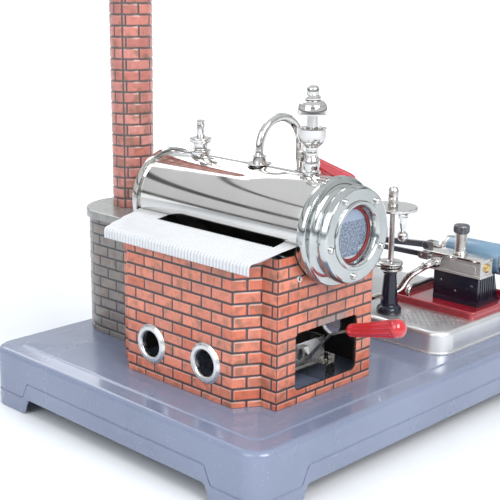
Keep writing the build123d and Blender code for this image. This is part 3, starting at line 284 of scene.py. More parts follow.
FINISHES = {
    "base_enamel": dict(
        base=(0.195, 0.230, 0.335), second=(0.165, 0.197, 0.290), roughness=0.24, coat=0.45,
        patch_scale=18, bump=0.03, dust=0.25, roughness_spread=0.14,
        wear=(0.50, 0.53, 0.60), wear_amount=0.5),
    "nickel": dict(
        base=(0.69, 0.68, 0.665), second=(0.61, 0.60, 0.58), roughness=0.085, metallic=1,
        patch_scale=28, bump=0.02, roughness_spread=0.08,
        wear=(0.85, 0.85, 0.83), wear_amount=0.3),
    "satin_steel": dict(
        base=(0.62, 0.61, 0.59), second=(0.50, 0.49, 0.47), roughness=0.27, metallic=1,
        patch_scale=80, bump=0.10, roughness_spread=0.16),
    "dark_steel": dict(
        base=(0.16, 0.16, 0.18), second=(0.10, 0.10, 0.12), roughness=0.32, metallic=0.85,
        patch_scale=90, bump=0.08, wear=(0.45, 0.45, 0.46), wear_amount=0.8),
    "brass": dict(
        base=(0.74, 0.54, 0.24), second=(0.58, 0.40, 0.16), roughness=0.20, metallic=1,
        patch_scale=120, roughness_spread=0.15),
    "red_enamel": dict(
        base=(0.34, 0.012, 0.026), second=(0.25, 0.008, 0.018), roughness=0.20, coat=0.7,
        patch_scale=40, bump=0.03, wear=(0.62, 0.2, 0.16), wear_amount=0.7),
    "red_grip": dict(
        base=(0.54, 0.016, 0.030), second=(0.42, 0.010, 0.020), roughness=0.13, coat=1.0,
        patch_scale=70, bump=0.04, roughness_spread=0.08,
        wear=(0.8, 0.25, 0.22), wear_amount=0.6),
    "black_enamel": dict(
        base=(0.0065, 0.0085, 0.022), second=(0.004, 0.005, 0.014), roughness=0.20, coat=0.4,
        specular=0.4, patch_scale=70, bump=0.06, wear=(0.2, 0.2, 0.24), wear_amount=0.4),
    "blue_enamel": dict(
        base=(0.155, 0.285, 0.42), second=(0.085, 0.17, 0.27), roughness=0.25, coat=0.5,
        patch_scale=420, bump=0.5, bump_scale=900, stretch=(1.0, 0.03, 1.0),
        wear=(0.6, 0.7, 0.8), wear_amount=0.6),
    "plate_silver": dict(
        base=(0.78, 0.785, 0.795), second=(0.70, 0.705, 0.715), roughness=0.36, metallic=0.92,
        patch_scale=45, wear=(0.9, 0.9, 0.9), wear_amount=0.5),
    "white_enamel": dict(
        base=(0.67, 0.68, 0.69), second=(0.61, 0.62, 0.635), roughness=0.36, coat=0.2,
        patch_scale=40, dust=0.1, wear=(0.72, 0.72, 0.71), wear_amount=0.3),
    "red_gasket": dict(
        base=(0.25, 0.022, 0.022), second=(0.14, 0.014, 0.014), roughness=0.6,
        patch_scale=200, bump=0.3, bump_scale=2500),
    # glass: dark blue with lighter mottling; its two bands are painted reflections, light stripes
    # across the sight glass
    "glass": dict(
        base=(0.035, 0.062, 0.112), second=(0.27, 0.32, 0.41), roughness=0.08,
        patch_scale=950, bump=0.35, bump_scale=1400, coat=0.6, specular=0.4,
        roughness_spread=0.08, bands=((0.1275, 0.1365, (0.24, 0.30, 0.41)),
                                      (0.1062, 0.1102, (0.46, 0.49, 0.53)))),
    # the engine plate's metal darkened for the tread bumps: painted shade
    "plate_painted_shade": dict(
        base=(0.40, 0.405, 0.42), second=(0.28, 0.285, 0.30), roughness=0.42, metallic=0.92,
        patch_scale=90, bump=0.08, roughness_spread=0.14,
        wear=(0.85, 0.85, 0.85), wear_amount=0.6),
    "chest_steel": dict(
        base=(0.60, 0.60, 0.59), second=(0.48, 0.475, 0.46), roughness=0.40, metallic=0.5,
        patch_scale=110, bump=0.07, roughness_spread=0.14),
    # nickel darkened and tinted green for the boiler flange: a painted reflection
    "nickel_painted_reflection": dict(
        base=(0.54, 0.565, 0.56), second=(0.46, 0.485, 0.48), roughness=0.13, metallic=1,
        bump=0.03, wear=(0.75, 0.77, 0.76), wear_amount=0.3),
    "satin_nickel": dict(
        base=(0.74, 0.74, 0.735), second=(0.64, 0.64, 0.635), roughness=0.27, metallic=1,
        roughness_spread=0.12),
    "spring_belt": dict(
        base=(0.45, 0.44, 0.43), second=(0.32, 0.31, 0.30), roughness=0.3, metallic=1,
        patch_scale=300, bump=0.1),
    # spindle: the dark brown band is painted shade in the pulley groove where the belt runs
    "spindle": dict(
        base=(0.66, 0.65, 0.63), second=(0.54, 0.53, 0.51), roughness=0.16, metallic=1,
        patch_scale=80, bump=0.08, bands=((0.0757, 0.0777, (0.10, 0.065, 0.04)),)),
    "inner_tin": dict(
        base=(0.09, 0.08, 0.07), second=(0.05, 0.045, 0.04), roughness=0.55, metallic=0.5,
        bump=0.2),
    "slab_stone": dict(
        base=(0.27, 0.275, 0.265), second=(0.20, 0.205, 0.195), roughness=0.30, coat=0.6,
        patch_scale=120, bump=0.35, bump_scale=700, wear=(0.4, 0.35, 0.28), wear_amount=0.8),
}
for key, settings in FINISHES.items():
    MATERIALS[key] = finish("m_" + key, **settings)


# ---------------------------------------------------------------- printed brick finishes
def brick_finish(name, colours, mortar, pale):
    """Lithographed brick: a colour per brick, dark joints, pale edges that are a painted highlight,
    burnt sheet.

    Reads the point attributes rnd, edge, burn and mask that the relief meshes carry.
    """
    material, shader, principled = new_material(name)
    coords = shader.coords()
    ramp = shader.add("ValToRGB", {"Fac": shader.attribute("rnd")})
    stops = ramp.color_ramp.elements
    while len(stops) < len(colours):
        stops.new(0.5)
    for i, stop_colour in enumerate(colours):
        stops[i].position = i / (len(colours) - 1)
        stops[i].color = (*stop_colour, 1)

    streaks = shader.noise(coords, scale=260, detail=7)
    streak_mask = shader.map_range(streaks, from_min=0.42, from_max=0.72, to_max=0.42)
    streak_colour = tuple(channel * 0.45 for channel in colours[0])
    colour = shader.mix(streak_mask, ramp.outputs["Color"], streak_colour)

    stains = shader.noise(coords, scale=130, detail=3)
    stain_mask = shader.map_range(stains, from_min=0.52, from_max=0.70, to_max=0.62)
    colour = shader.mix(stain_mask, colour, (0.19, 0.095, 0.055))

    # painted highlight: the pale colour laid along the lit edges of the bricks
    painted_highlight = shader.math("MULTIPLY", shader.attribute("edge"), 0.75)
    colour = shader.mix(shader.math("MULTIPLY", painted_highlight, streaks), colour, pale)
    bare_sheet = (0.26, 0.225, 0.215)
    colour = shader.mix(shader.attribute("burn"), colour, bare_sheet)
    colour = shader.mix(shader.attribute("mask"), mortar, colour)
    shader.fill(principled, {
        "Base Color": colour,
        "Roughness": shader.map_range(streaks, to_min=0.18, to_max=0.46),
        "Metallic": shader.math("MULTIPLY", shader.attribute("burn"), 0.45),
        "Coat Weight": 0.35,
        "Coat Roughness": 0.12,
        "Normal": shader.bump(streaks, strength=0.25),
    })
    return material


# pale, in the three prints below, is the colour of the painted highlight on the brick edges
MATERIALS["brick_print"] = brick_finish(
    "m_brick",
    colours=[(0.52, 0.125, 0.065), (0.64, 0.175, 0.10), (0.57, 0.19, 0.12),
             (0.70, 0.22, 0.135), (0.47, 0.155, 0.095)],
    mortar=(0.026, 0.027, 0.034), pale=(0.80, 0.52, 0.44))
MATERIALS["stone_print"] = brick_finish(
    "m_stone",
    colours=[(0.175, 0.158, 0.150), (0.215, 0.190, 0.170), (0.150, 0.145, 0.145),
             (0.225, 0.190, 0.165), (0.18, 0.155, 0.145)],
    mortar=(0.035, 0.036, 0.042), pale=(0.40, 0.37, 0.34))
MATERIALS["stack_print"] = brick_finish(
    "m_stack",
    colours=[(0.46, 0.15, 0.12), (0.55, 0.20, 0.16), (0.42, 0.15, 0.125),
             (0.60, 0.25, 0.21), (0.48, 0.175, 0.145)],
    mortar=(0.075, 0.058, 0.058), pale=(0.66, 0.38, 0.32))

# ---------------------------------------------------------------- CAD pieces
SLOTS = {part["node"]: part["material_slot"] for part in frame["record"]["subparts"]}
# nodes whose finish differs from that of their slot
SPECIAL_FINISH = {
    "house_body": "inner_tin", "house_front_wall": "inner_tin", "chimney_tube": "inner_tin",
    "chimney_base": "slab_stone", "chimney_cap_slab": "slab_stone",
    "porthole_rings": "satin_nickel", "governor_spindle": "spindle",
    "pedestal_screws": "dark_steel", "crosshead_pin": "dark_steel",
    "steam_chest": "chest_steel",
    # the flange and the sight glass ring take nickel darkened and tinted as a painted reflection
    "boiler_front_flange": "nickel_painted_reflection", "sight_glass_ring": "nickel_painted_reflection",
}
UNBEVELLED = ("drive_belt", "safety_valve_spring", "house_body", "house_front_wall")

for node, piece in frame["nodes"].items():
    piece.data.materials.clear()
    piece.data.materials.append(MATERIALS[SPECIAL_FINISH.get(node, SLOTS[node])])
    for polygon in piece.data.polygons:
        polygon.material_index = 0
    weld = piece.modifiers.new("weld", "WELD")
    weld.merge_threshold = 2e-6
    if node not in UNBEVELLED:
        bevel = piece.modifiers.new("edge", "BEVEL")
        bevel.width = 0.00016
        bevel.segments = 2
        bevel.limit_method = "ANGLE"
        bevel.angle_limit = math.radians(38)

# ---------------------------------------------------------------- brick relief
COURSE = 6.25            # height of a course
COURSE_DATUM_Z = 38.64   # height of a course line
BRICK_LENGTH = 14.5
JOINT_HALF_Z, JOINT_HALF_ALONG = 0.50, 0.42


def brick_field(along, z, bond_start, brick_length, seed):
    """Height, random value and painted edge highlight at each point of a stretcher bond."""
    row = np.floor((z - COURSE_DATUM_Z) / COURSE).astype(int)
    in_row = (z - COURSE_DATUM_Z) - row * COURSE
    stagger = np.where(row % 2 == 0, 0.0, brick_length / 2)
    bricks_along = (along - bond_start - stagger) / brick_length
    column = np.floor(bricks_along).astype(int)
    in_brick = (bricks_along - column) * brick_length
    inset = np.minimum(np.minimum(in_row, COURSE - in_row) - JOINT_HALF_Z,
                       np.minimum(in_brick, brick_length - in_brick) - JOINT_HALF_ALONG)
    height = smoothstep(inset, -0.12, 0.34)
    # integer hash of row, column and seed, brought to 0..1
    hashed = (row * 73856093) ^ (column * 19349663) ^ (seed * 83492791)
    shade = ((hashed * 1103515245 + 12345) & 0x7FFFFFFF) % 10007 / 10007.0
    # the painted highlight is strong along the top and the leading end of a brick, the edges that
    # face the light
    exposed = (COURSE - in_row < 1.6) | (in_brick < 1.6)
    rim = smoothstep(inset, 0.08, 0.3) * (1 - smoothstep(inset, 0.35, 0.75))
    return height, shade, rim * np.where(exposed, 0.95, 0.12)


def sample_path(path, closed, step):
    """Points, distances and outward normals along a plan outline with the wall on its left."""
    corners = [np.array(corner, float) for corner in path]
    ends = corners[1:] + corners[:1] if closed else corners[1:]
    points, distances, straight_normals = [], [], []
    travelled = 0.0
    for start, end in zip(corners, ends):
        length = np.linalg.norm(end - start)
        heading = (end - start) / length
        normal = np.array([heading[1], -heading[0]])
        count = max(1, int(round(length / step)))
        for i in range(count):
            points.append(start + heading * length * i / count)
            distances.append(travelled + length * i / count)
            straight_normals.append(normal if i else None)
        travelled += length
    if not closed:
        points.append(corners[-1])
        distances.append(travelled)
        straight_normals.append(None)
    points = np.array(points)
    tangents = np.roll(points, -1, 0) - np.roll(points, 1, 0)
    if not closed:
        tangents[0] = points[1] - points[0]
        tangents[-1] = points[-1] - points[-2]
    tangents /= np.linalg.norm(tangents, axis=1)[:, None]
    # a corner takes the normal of the mean direction
    normals = [np.array([tangent[1], -tangent[0]]) if normal is None else normal
               for normal, tangent in zip(straight_normals, tangents)]
    return points, np.array(distances), np.array(normals)


def relief(name, path, z0, z1, bond_start, slot, seed, closed=False, holes=(), hole_axis=0,
           depth=0.42, step=0.42, brick_length=BRICK_LENGTH, burn=None, raised=None, fade=None):
    """Embossed brick sheet standing on a plan outline.

    hole_axis is the plan axis the holes are measured along: 0 for x, 1 for y.
    """
    points, distances, normals = sample_path(path, closed, step)
    heights = np.linspace(z0, z1, max(2, int(round((z1 - z0) / 0.39)) + 1))
    rows = len(heights)
    plan = [np.repeat(points[:, 0], rows), np.repeat(points[:, 1], rows)]
    along = np.repeat(distances, rows)
    z = np.tile(heights, len(points))
    faces = np.array(strip_faces(len(points), rows, closed))
    # draw nearby points onto the rim of each hole, then drop the faces inside it
    for hole in holes:
        for _ in range(2):
            distance, slope_across, slope_z = hole(plan[hole_axis], z)
            near = np.abs(distance) < 0.32
            snapped = plan[hole_axis] - slope_across * distance
            plan[hole_axis] = np.where(near, snapped, plan[hole_axis])
            z = np.where(near, z - slope_z * distance, z)
    if holes:
        middle_across, middle_z = plan[hole_axis][faces].mean(1), z[faces].mean(1)
        keep = np.ones(len(faces), bool)
        for hole in holes:
            keep &= hole(middle_across, middle_z)[0] > 0
        faces = faces[keep]

    x, y = plan
    # edge carries the painted highlight along the brick edges
    height, shade, edge = brick_field(along, z, bond_start, brick_length, seed)
    # fade flattens the bricks to the mortar colour; the chimney seam uses it for a painted shadow
    # beside the lap
    if fade is not None:
        strength = fade(x, y)
        height = height * strength
        edge = edge * strength
    burnt = np.zeros_like(height) if burn is None else burn(x, z)
    uneven = (0.05 * (shade - 0.5)
              + 0.02 * np.sin(x * 2.1 + z * 3.3) * np.cos(y * 1.7 - z * 1.9))
    sheet_clearance = 0.04
    offset = sheet_clearance + depth * height + uneven * height
    if raised is not None:
        offset = offset + raised(x, y)
    normal_x, normal_y = np.repeat(normals[:, 0], rows), np.repeat(normals[:, 1], rows)
    verts = np.stack([x + normal_x * offset, y + normal_y * offset, z], 1)
    return build(name, verts, faces, slot, thickness=0.38, sharp_angle=60,
                 attributes={"mask": height, "rnd": shade, "edge": edge, "burn": burnt})


# A hole gives the signed distance to its rim and the two slopes of that distance.
def round_hole(centre, centre_z, radius):
    def rim(across, z):
        from_centre, rise = across - centre, z - centre_z
        reach = np.sqrt(from_centre ** 2 + rise ** 2) + 1e-9
        return reach - radius, from_centre / reach, rise / reach
    return rim


def rounded_rect_hole(centre, centre_z, half_width, half_height, corner):
    def rim(across, z):
        from_centre, rise = across - centre, z - centre_z
        past_x = np.abs(from_centre) - (half_width - corner)
        past_z = np.abs(rise) - (half_height - corner)
        corner_x, corner_z = np.maximum(past_x, 0), np.maximum(past_z, 0)
        reach = np.sqrt(corner_x ** 2 + corner_z ** 2)
        distance = reach + np.minimum(np.maximum(past_x, past_z), 0) - corner
        outside = reach > 1e-6
        slope_x = np.where(outside, corner_x / (reach + 1e-9),
                           np.where(past_x > past_z, 1.0, 0.0)) * np.sign(from_centre)
        slope_z = np.where(outside, corner_z / (reach + 1e-9),
                           np.where(past_x > past_z, 0.0, 1.0)) * np.sign(rise)
        return distance, slope_x, slope_z
    return rim


# ---------------------------------------------------------------- boiler house walls
front_wall = cad_box("house_front_wall")
house = cad_box("house_body")
portholes = cad_box("porthole_rings")
flange = cad_box("boiler_front_flange")
eyelets = cad_box("wall_eyelets")
chimney_block = cad_box("chimney_base")

HOUSE_X = (front_wall.x0 + front_wall.x1) / 2
HOUSE_FRONT, HOUSE_REAR, HOUSE_TOP = front_wall.y0, house.y1, house.z1
BASE_TOP = cad_box("base_plate").z1
WALL_FOOT = BASE_TOP + 0.05
BOILER_HOLE_RADIUS = 26.4

# front opening: rounded rectangle
OPENING_X = (-80.1 - 32.7) / 2
OPENING_Z = 56.9
OPENING_HALF_WIDTH, OPENING_HALF_HEIGHT, OPENING_GAP = 23.7, 15.0, 0.1

# each side wall: a strip in the end plane, a slanted facet, then the long wall
STRIP_END = 10.0     # from the end of the house, along y
FACET_END = 17.7
FACET_LENGTH = 14.94
LEFT_JOINT_Y = 12.725

PORTHOLE_YS = (0.3, -40.9)
PORTHOLE_RADIUS = 10.4

BLOCK_X = (chimney_block.x0 + chimney_block.x1) / 2
BLOCK_RADIUS = (chimney_block.x1 - chimney_block.x0) / 2
BLOCK_ARC_Y = chimney_block.y1 - BLOCK_RADIUS
BLOCK_SIDE_Y = 45.0   # where the block's sides give way to the flue
FLUE_TOP = 92


def scorch(x, z):
    """Burnt patch along the top of the front opening."""
    distance = np.maximum(np.abs(x + 53.6) / 10.0, np.abs(z - 73.4) / 2.3)
    wobble = 0.12 * np.sin(x * 1.3) + 0.10 * np.sin(z * 3.1 + x)
    return 0.9 * (1 - smoothstep(distance + wobble, 0.55, 1.7))


boiler_hole = round_hole(HOUSE_X, (flange.z0 + flange.z1) / 2, BOILER_HOLE_RADIUS)
opening = rounded_rect_hole(OPENING_X, OPENING_Z, OPENING_HALF_WIDTH + OPENING_GAP,
                            OPENING_HALF_HEIGHT + OPENING_GAP, corner=3.0)
eyelet_holes = [round_hole(HOUSE_X + offset, (eyelets.z0 + eyelets.z1) / 2, 1.5)
                for offset in (-21, 21)]
relief("brick_relief_front",
       [(front_wall.x0, HOUSE_FRONT), (front_wall.x1, HOUSE_FRONT)],
       WALL_FOOT, HOUSE_TOP, bond_start=-86.0 - front_wall.x0, slot="brick_print", seed=3,
       holes=[boiler_hole, opening, *eyelet_holes], burn=scorch)

left_path = [
    (front_wall.x0, HOUSE_REAR), (front_wall.x0, HOUSE_REAR - STRIP_END),
    (house.x0, HOUSE_REAR - FACET_END), (house.x0, HOUSE_FRONT + FACET_END),
    (front_wall.x0, HOUSE_FRONT + STRIP_END), (front_wall.x0, HOUSE_FRONT + 0.1),
]
right_path = [(2 * HOUSE_X - x, y) for x, y in left_path][::-1]
left_bond = STRIP_END + FACET_LENGTH + (HOUSE_REAR - FACET_END - LEFT_JOINT_Y)
porthole_holes = [round_hole(y, (portholes.z0 + portholes.z1) / 2, PORTHOLE_RADIUS)
                  for y in PORTHOLE_YS]
for side, path, bond_start, seed in (("left", left_path, left_bond, 5),
                                     ("right", right_path, 4.0, 6)):
    relief("brick_relief_" + side, path, WALL_FOOT, HOUSE_TOP, bond_start=bond_start,
           slot="brick_print", seed=seed, holes=porthole_holes, hole_axis=1)

# the rear wall is open behind the flue, from below the wall's foot upward
flue_hole = rounded_rect_hole(BLOCK_X, (BASE_TOP + FLUE_TOP) / 2 - 10, BLOCK_RADIUS + 0.2,
                              (FLUE_TOP - BASE_TOP) / 2 + 10.2, corner=0.5)
relief("brick_relief_rear", [(front_wall.x1, HOUSE_REAR), (front_wall.x0, HOUSE_REAR)],
       WALL_FOOT, HOUSE_TOP, bond_start=3.0, slot="brick_print", seed=8,
       holes=[boiler_hole, flue_hole])

# ---------------------------------------------------------------- chimney
block_arc = [(BLOCK_X + BLOCK_RADIUS * math.cos(math.radians(angle)),
              BLOCK_ARC_Y + BLOCK_RADIUS * math.sin(math.radians(angle)))
             for angle in range(0, 181, 3)]
block_right, block_left = (chimney_block.x1, BLOCK_SIDE_Y), (chimney_block.x0, BLOCK_SIDE_Y)
relief("stone_relief_block", [block_right] + block_arc + [block_left],
       WALL_FOOT, chimney_block.z1 - 0.02, bond_start=2.0, slot="stone_print", seed=11)
flue_front_y = HOUSE_REAR + 0.45
relief("stone_relief_flue_left", [block_left, (chimney_block.x0, flue_front_y)],
       WALL_FOOT, FLUE_TOP, bond_start=5.0, slot="stone_print", seed=12)
relief("stone_relief_flue_right", [(chimney_block.x1, flue_front_y), block_right],
       WALL_FOOT, FLUE_TOP, bond_start=5.0, slot="stone_print", seed=13)

stack = cad_box("chimney_tube")
STACK_X, STACK_Y = (stack.x0 + stack.x1) / 2, (stack.y0 + stack.y1) / 2
STACK_RADIUS = 12.0
STACK_STEPS = 270
SEAM_ANGLE = math.radians(-157.3)


def seam_offset(x, y):
    """Distance round the stack from its upright seam."""
    angle = np.arctan2(y - STACK_Y, x - STACK_X)
    return ((angle - SEAM_ANGLE + math.pi) % (2 * math.pi) - math.pi) * STACK_RADIUS


def seam_ridge(x, y):
    return 0.35 * (1 - smoothstep(np.abs(seam_offset(x, y)), 1.0, 1.3))


def seam_painted_shadow(x, y):
    """Dark line beside the ridge: the lap joint where the brick print is interrupted, with the
    mortar colour laid on as a painted shadow of the lap.
    """
    return smoothstep(np.abs(seam_offset(x, y) - 0.9), 0.35, 0.62)


stack_angles = [math.radians(360.0 * i / STACK_STEPS) for i in range(STACK_STEPS)]
relief("brick_relief_chimney",
       [(STACK_X + STACK_RADIUS * math.cos(angle), STACK_Y + STACK_RADIUS * math.sin(angle))
        for angle in stack_angles],
       stack.z0 + 0.05, stack.z1 - 2.4, bond_start=0.0, slot="stack_print", seed=21,
       closed=True, brick_length=2 * math.pi * STACK_RADIUS / 5, step=0.28, depth=0.32,
       raised=seam_ridge, fade=seam_painted_shadow)


# ---------------------------------------------------------------- ribbed awnings
def tinted(source, name, attribute, tint, amount):
    """Copy of a finish with painted shade: its colour drawn towards a shade colour where a point
    attribute is high.
    """
    material = source.copy()
    material.name = name
    shader = Shader(material.node_tree)
    principled = shader.nodes["Principled BSDF"]
    colour = principled.inputs["Base Color"].links[0].from_socket
    strength = shader.math("MULTIPLY", shader.attribute(attribute), amount)
    shader.fill(principled, {"Base Color": shader.mix(strength, colour, tint)})
    return material


# painted shade: blue-grey colour in the valleys between the ribs
AWNING_SHEET = tinted(MATERIALS["white_enamel"], "m_awning_sheet", attribute="valley_shade",
                      tint=(0.235, 0.275, 0.355), amount=0.95)
# x distances are from the middle of the house
AWNING_INNER_X, AWNING_INNER_Z = 26.0, 117.5
AWNING_FLAT = 7.4           # width of the first strip, one face across
AWNING_BEND_X = 53.7        # where the slope turns down into the lip
AWNING_LIP_RADIUS = 2.2
AWNING_LIP_CENTRE_Z = 110.9
AWNING_OUTER_X = AWNING_BEND_X + AWNING_LIP_RADIUS
AWNING_DROP = AWNING_INNER_Z - AWNING_LIP_CENTRE_Z - AWNING_LIP_RADIUS
AWNING_LOW_Z = cad_box("awning_left").z0
AWNING_REAR_Y = 36.5
AWNING_FRONT_TAPER, AWNING_REAR_TAPER = 2.9, 7.1   # how far the ends draw in at the lip
RIB_START_Y, RIB_PITCH, RIB_STEPS, RIB_DEPTH = -80.4, 2.25, 12, 0.78
GAP_FROM_FRONT, GAP_REAR_Y = 9.2, 13.1             # gap in the innermost strip


def awning_profile():
    """(x, z) from the inner edge down the slope, round the lip and down its face."""
    def slope_point(x):
        share = (x - AWNING_INNER_X) / (AWNING_BEND_X - AWNING_INNER_X)
        return x, AWNING_INNER_Z - AWNING_DROP * share

    flat_end = AWNING_INNER_X + AWNING_FLAT
    profile = [(AWNING_INNER_X, AWNING_INNER_Z)]
    profile += [slope_point(flat_end + (AWNING_BEND_X - flat_end) * i / 24) for i in range(24)]
    for degrees in range(0, 91, 10):
        angle = math.radians(degrees)
        profile.append((AWNING_BEND_X + AWNING_LIP_RADIUS * math.sin(angle),
                        AWNING_LIP_CENTRE_Z + AWNING_LIP_RADIUS * math.cos(angle)))
    face_height = AWNING_LIP_CENTRE_Z - AWNING_LOW_Z
    profile += [(AWNING_OUTER_X, AWNING_LIP_CENTRE_Z - face_height * i / 7)
                for i in range(1, 8)]
    return np.array(profile)


def awning(name, sign, node):
    """Ribbed sheet; sign is -1 for the left of the house and 1 for the right."""
    profile = awning_profile()
    front_y = cad_box(node).y0
    gap_front_y = front_y + GAP_FROM_FRONT
    stations = np.arange(RIB_START_Y, AWNING_REAR_Y + 0.01, RIB_PITCH / RIB_STEPS)
    stations = stations[stations > front_y - 0.01]
    key_stations = [front_y, gap_front_y, GAP_REAR_Y, AWNING_REAR_Y]
    stations = np.unique(np.round(np.concatenate([stations, key_stations]), 4))
    count = len(stations)
    tangents = np.gradient(profile, axis=0)
    tangents /= np.linalg.norm(tangents, axis=1)[:, None]
    normals = np.stack([-tangents[:, 1], tangents[:, 0]], 1)

    verts = np.zeros((len(profile), count, 3))
    valley_shade = np.zeros((len(profile), count))
    for i, (x, z) in enumerate(profile):
        outward = min(1, max(0, (x - AWNING_INNER_X) / (AWNING_OUTER_X - AWNING_INNER_X)))
        y = np.clip(stations, front_y + AWNING_FRONT_TAPER * outward,
                    AWNING_REAR_Y - AWNING_REAR_TAPER * outward)
        phase = ((y - RIB_START_Y) / RIB_PITCH) % 1.0
        rib = np.abs(np.sin(math.pi * phase)) ** 0.62
        strength = min(1, (x - AWNING_INNER_X) / 2 + 0.3)
        sink = -RIB_DEPTH * (1 - rib) * strength
        # how deep a point lies in a rib valley, which sets the painted shade
        valley_shade[i] = (1 - rib) ** 0.8 * strength
        verts[i, :, 0] = HOUSE_X + sign * (x + normals[i, 0] * sink)
        verts[i, :, 1] = y
        verts[i, :, 2] = z + normals[i, 1] * sink

    faces = []
    for i in range(len(profile) - 1):
        for j in range(count - 1):
            middle_y = (stations[j] + stations[j + 1]) / 2
            if i == 0 and gap_front_y < middle_y < GAP_REAR_Y:
                continue
            # the clipped ends collapse some quads to nothing
            diagonals = (verts[i + 1, j + 1] - verts[i, j], verts[i, j + 1] - verts[i + 1, j])
            if np.linalg.norm(np.cross(*diagonals)) < 1e-4:
                continue
            face = (i * count + j, (i + 1) * count + j,
                    (i + 1) * count + j + 1, i * count + j + 1)
            faces.append(face if sign < 0 else face[::-1])
    return build(name, verts.reshape(-1, 3), faces, "white_enamel", material=AWNING_SHEET,
                 replaces=(node,), thickness=0.5, sharp_angle=75,
                 attributes={"valley_shade": valley_shade.reshape(-1)})


awning("ribbed_awning_left", -1, "awning_left")
awning("ribbed_awning_right", 1, "awning_right")

# ---------------------------------------------------------------- pressed base
BASE_STEPS_X, BASE_STEPS_Y, BASE_CORNER_STEPS = 170, 132, 14
BASE_SHOULDER = 3.2                # radius between skirt and top
BASE_MARGIN_Z = BASE_TOP - 0.6     # outer margin, below the raised middle
# skirt: (inward offset, height above the lower edge)
BASE_SKIRT = ((0.9, 0.0), (0.2, 0.3), (0.0, 1.0), (0.0, 8.6),
              (0.0, 9.2), (0.55, 9.7), (0.55, 10.1), (0.0, 10.6))
# step up to the raised middle: (inward offset, z)
BASE_STEP = ((10.8, BASE_MARGIN_Z), (11.2, BASE_MARGIN_Z + 0.05), (11.7, BASE_MARGIN_Z + 0.3),
             (12.1, BASE_TOP - 0.04), (12.6, BASE_TOP))


def base_outline(offset):
    """Rounded rectangle, set in from the edge of the base, counter-clockwise from +x."""
    radius = 12 - 0.5 * offset if offset <= 12 else 6
    half_x, half_y = BASE_HALF_X - offset, BASE_HALF_Y - offset
    core_x, core_y = half_x - radius, half_y - radius
    run_x, run_y = 2 * half_x - 2 * radius, 2 * half_y - 2 * radius
    # corner centre, start of the straight after it, run of that straight, its steps
    quarters = (
        ((core_x, core_y), (core_x, half_y), (-run_x, 0), BASE_STEPS_X),
        ((-core_x, core_y), (-half_x, core_y), (0, -run_y), BASE_STEPS_Y),
        ((-core_x, -core_y), (-core_x, -half_y), (run_x, 0), BASE_STEPS_X),
        ((core_x, -core_y), (half_x, -core_y), (0, run_y), BASE_STEPS_Y),
    )
    points = []
    for quarter, (centre, start, run, steps) in enumerate(quarters):
        for i in range(BASE_CORNER_STEPS):
            angle = math.radians(90 * quarter + 90 * i / BASE_CORNER_STEPS)
            points.append((centre[0] + radius * math.cos(angle),
                           centre[1] + radius * math.sin(angle)))
        for i in range(steps):
            points.append((start[0] + run[0] * i / steps, start[1] + run[1] * i / steps))
    return np.array(points)


def base_ring(offset, z):
    outline = base_outline(offset)
    return np.column_stack([outline, np.full(len(outline), z)])


def pressed_base():
    outline = base_outline(0)
    # the lower edge touches the ground at the corners and rises between them
    from_corner = np.maximum(BASE_HALF_X - np.abs(outline[:, 0]),
                             BASE_HALF_Y - np.abs(outline[:, 1]))
    lower_edge = 9.4 * smoothstep(from_corner, 30.0, 36.0)
    rings = [base_ring(offset, lower_edge + rise) for offset, rise in BASE_SKIRT]
    for degrees in range(0, 91, 10):
        angle = math.radians(degrees)
        rings.append(base_ring(BASE_SHOULDER * (1 - math.cos(angle)),
                               BASE_MARGIN_Z - BASE_SHOULDER + BASE_SHOULDER * math.sin(angle)))
    rings += [base_ring(offset, z) for offset, z in BASE_STEP]
    size = len(outline)
    faces = ring_faces(len(rings), size)
    faces.append(tuple((len(rings) - 1) * size + i for i in range(size)))
    return build("pressed_base", np.concatenate(rings), faces, "base_enamel",
                 replaces=("base_plate",), thickness=1.2, sharp_angle=40)


pressed_base()

# ---------------------------------------------------------------- tread on the engine plate
TREAD_PITCH, TREAD_START = 4.0, 7
TREAD_HALF_LENGTH, TREAD_HALF_WIDTH, TREAD_SEGMENTS = 1.65, 0.60, 16
TREAD_RINGS = ((1.0, -0.05), (0.82, 0.09), (0.5, 0.15))   # (scale, height above the plate)
TREAD_CREST = 0.17
TREAD_CLEARANCE = 2.6

engine_plate = cad_box("engine_plate")
tray = cad_box("drip_tray")
column = cad_box("governor_column")
bearings = cad_box("shaft_bearings")
# plan areas without tread: (x0, y0, x1, y1)
TREAD_KEEP_OUT = (
    (tray.x0, tray.y0, tray.x1, tray.y1),
    (column.x0, column.y0, column.x1, column.y1),
    (bearings.x0, bearings.y0, bearings.x0 + 5, bearings.y1),
    (bearings.x1 - 5, bearings.y0, bearings.x1, bearings.y1),
)


def tread_fits(x, y):
    inset_x = min(x - engine_plate.x0, engine_plate.x1 - x)
    inset_y = min(y - engine_plate.y0, engine_plate.y1 - y)
    if inset_x < 9 or inset_y < 8 or y > column.y0 - 1.5 or x > tray.x0 - 2:
        return False
    # the patterned field has rounded corners
    if inset_x < 17 and inset_y < 17 and math.hypot(17 - inset_x, 17 - inset_y) > 6:
        return False
    return not any(x0 - TREAD_CLEARANCE < x < x1 + TREAD_CLEARANCE
                   and y0 - TREAD_CLEARANCE < y < y1 + TREAD_CLEARANCE
                   for x0, y0, x1, y1 in TREAD_KEEP_OUT)


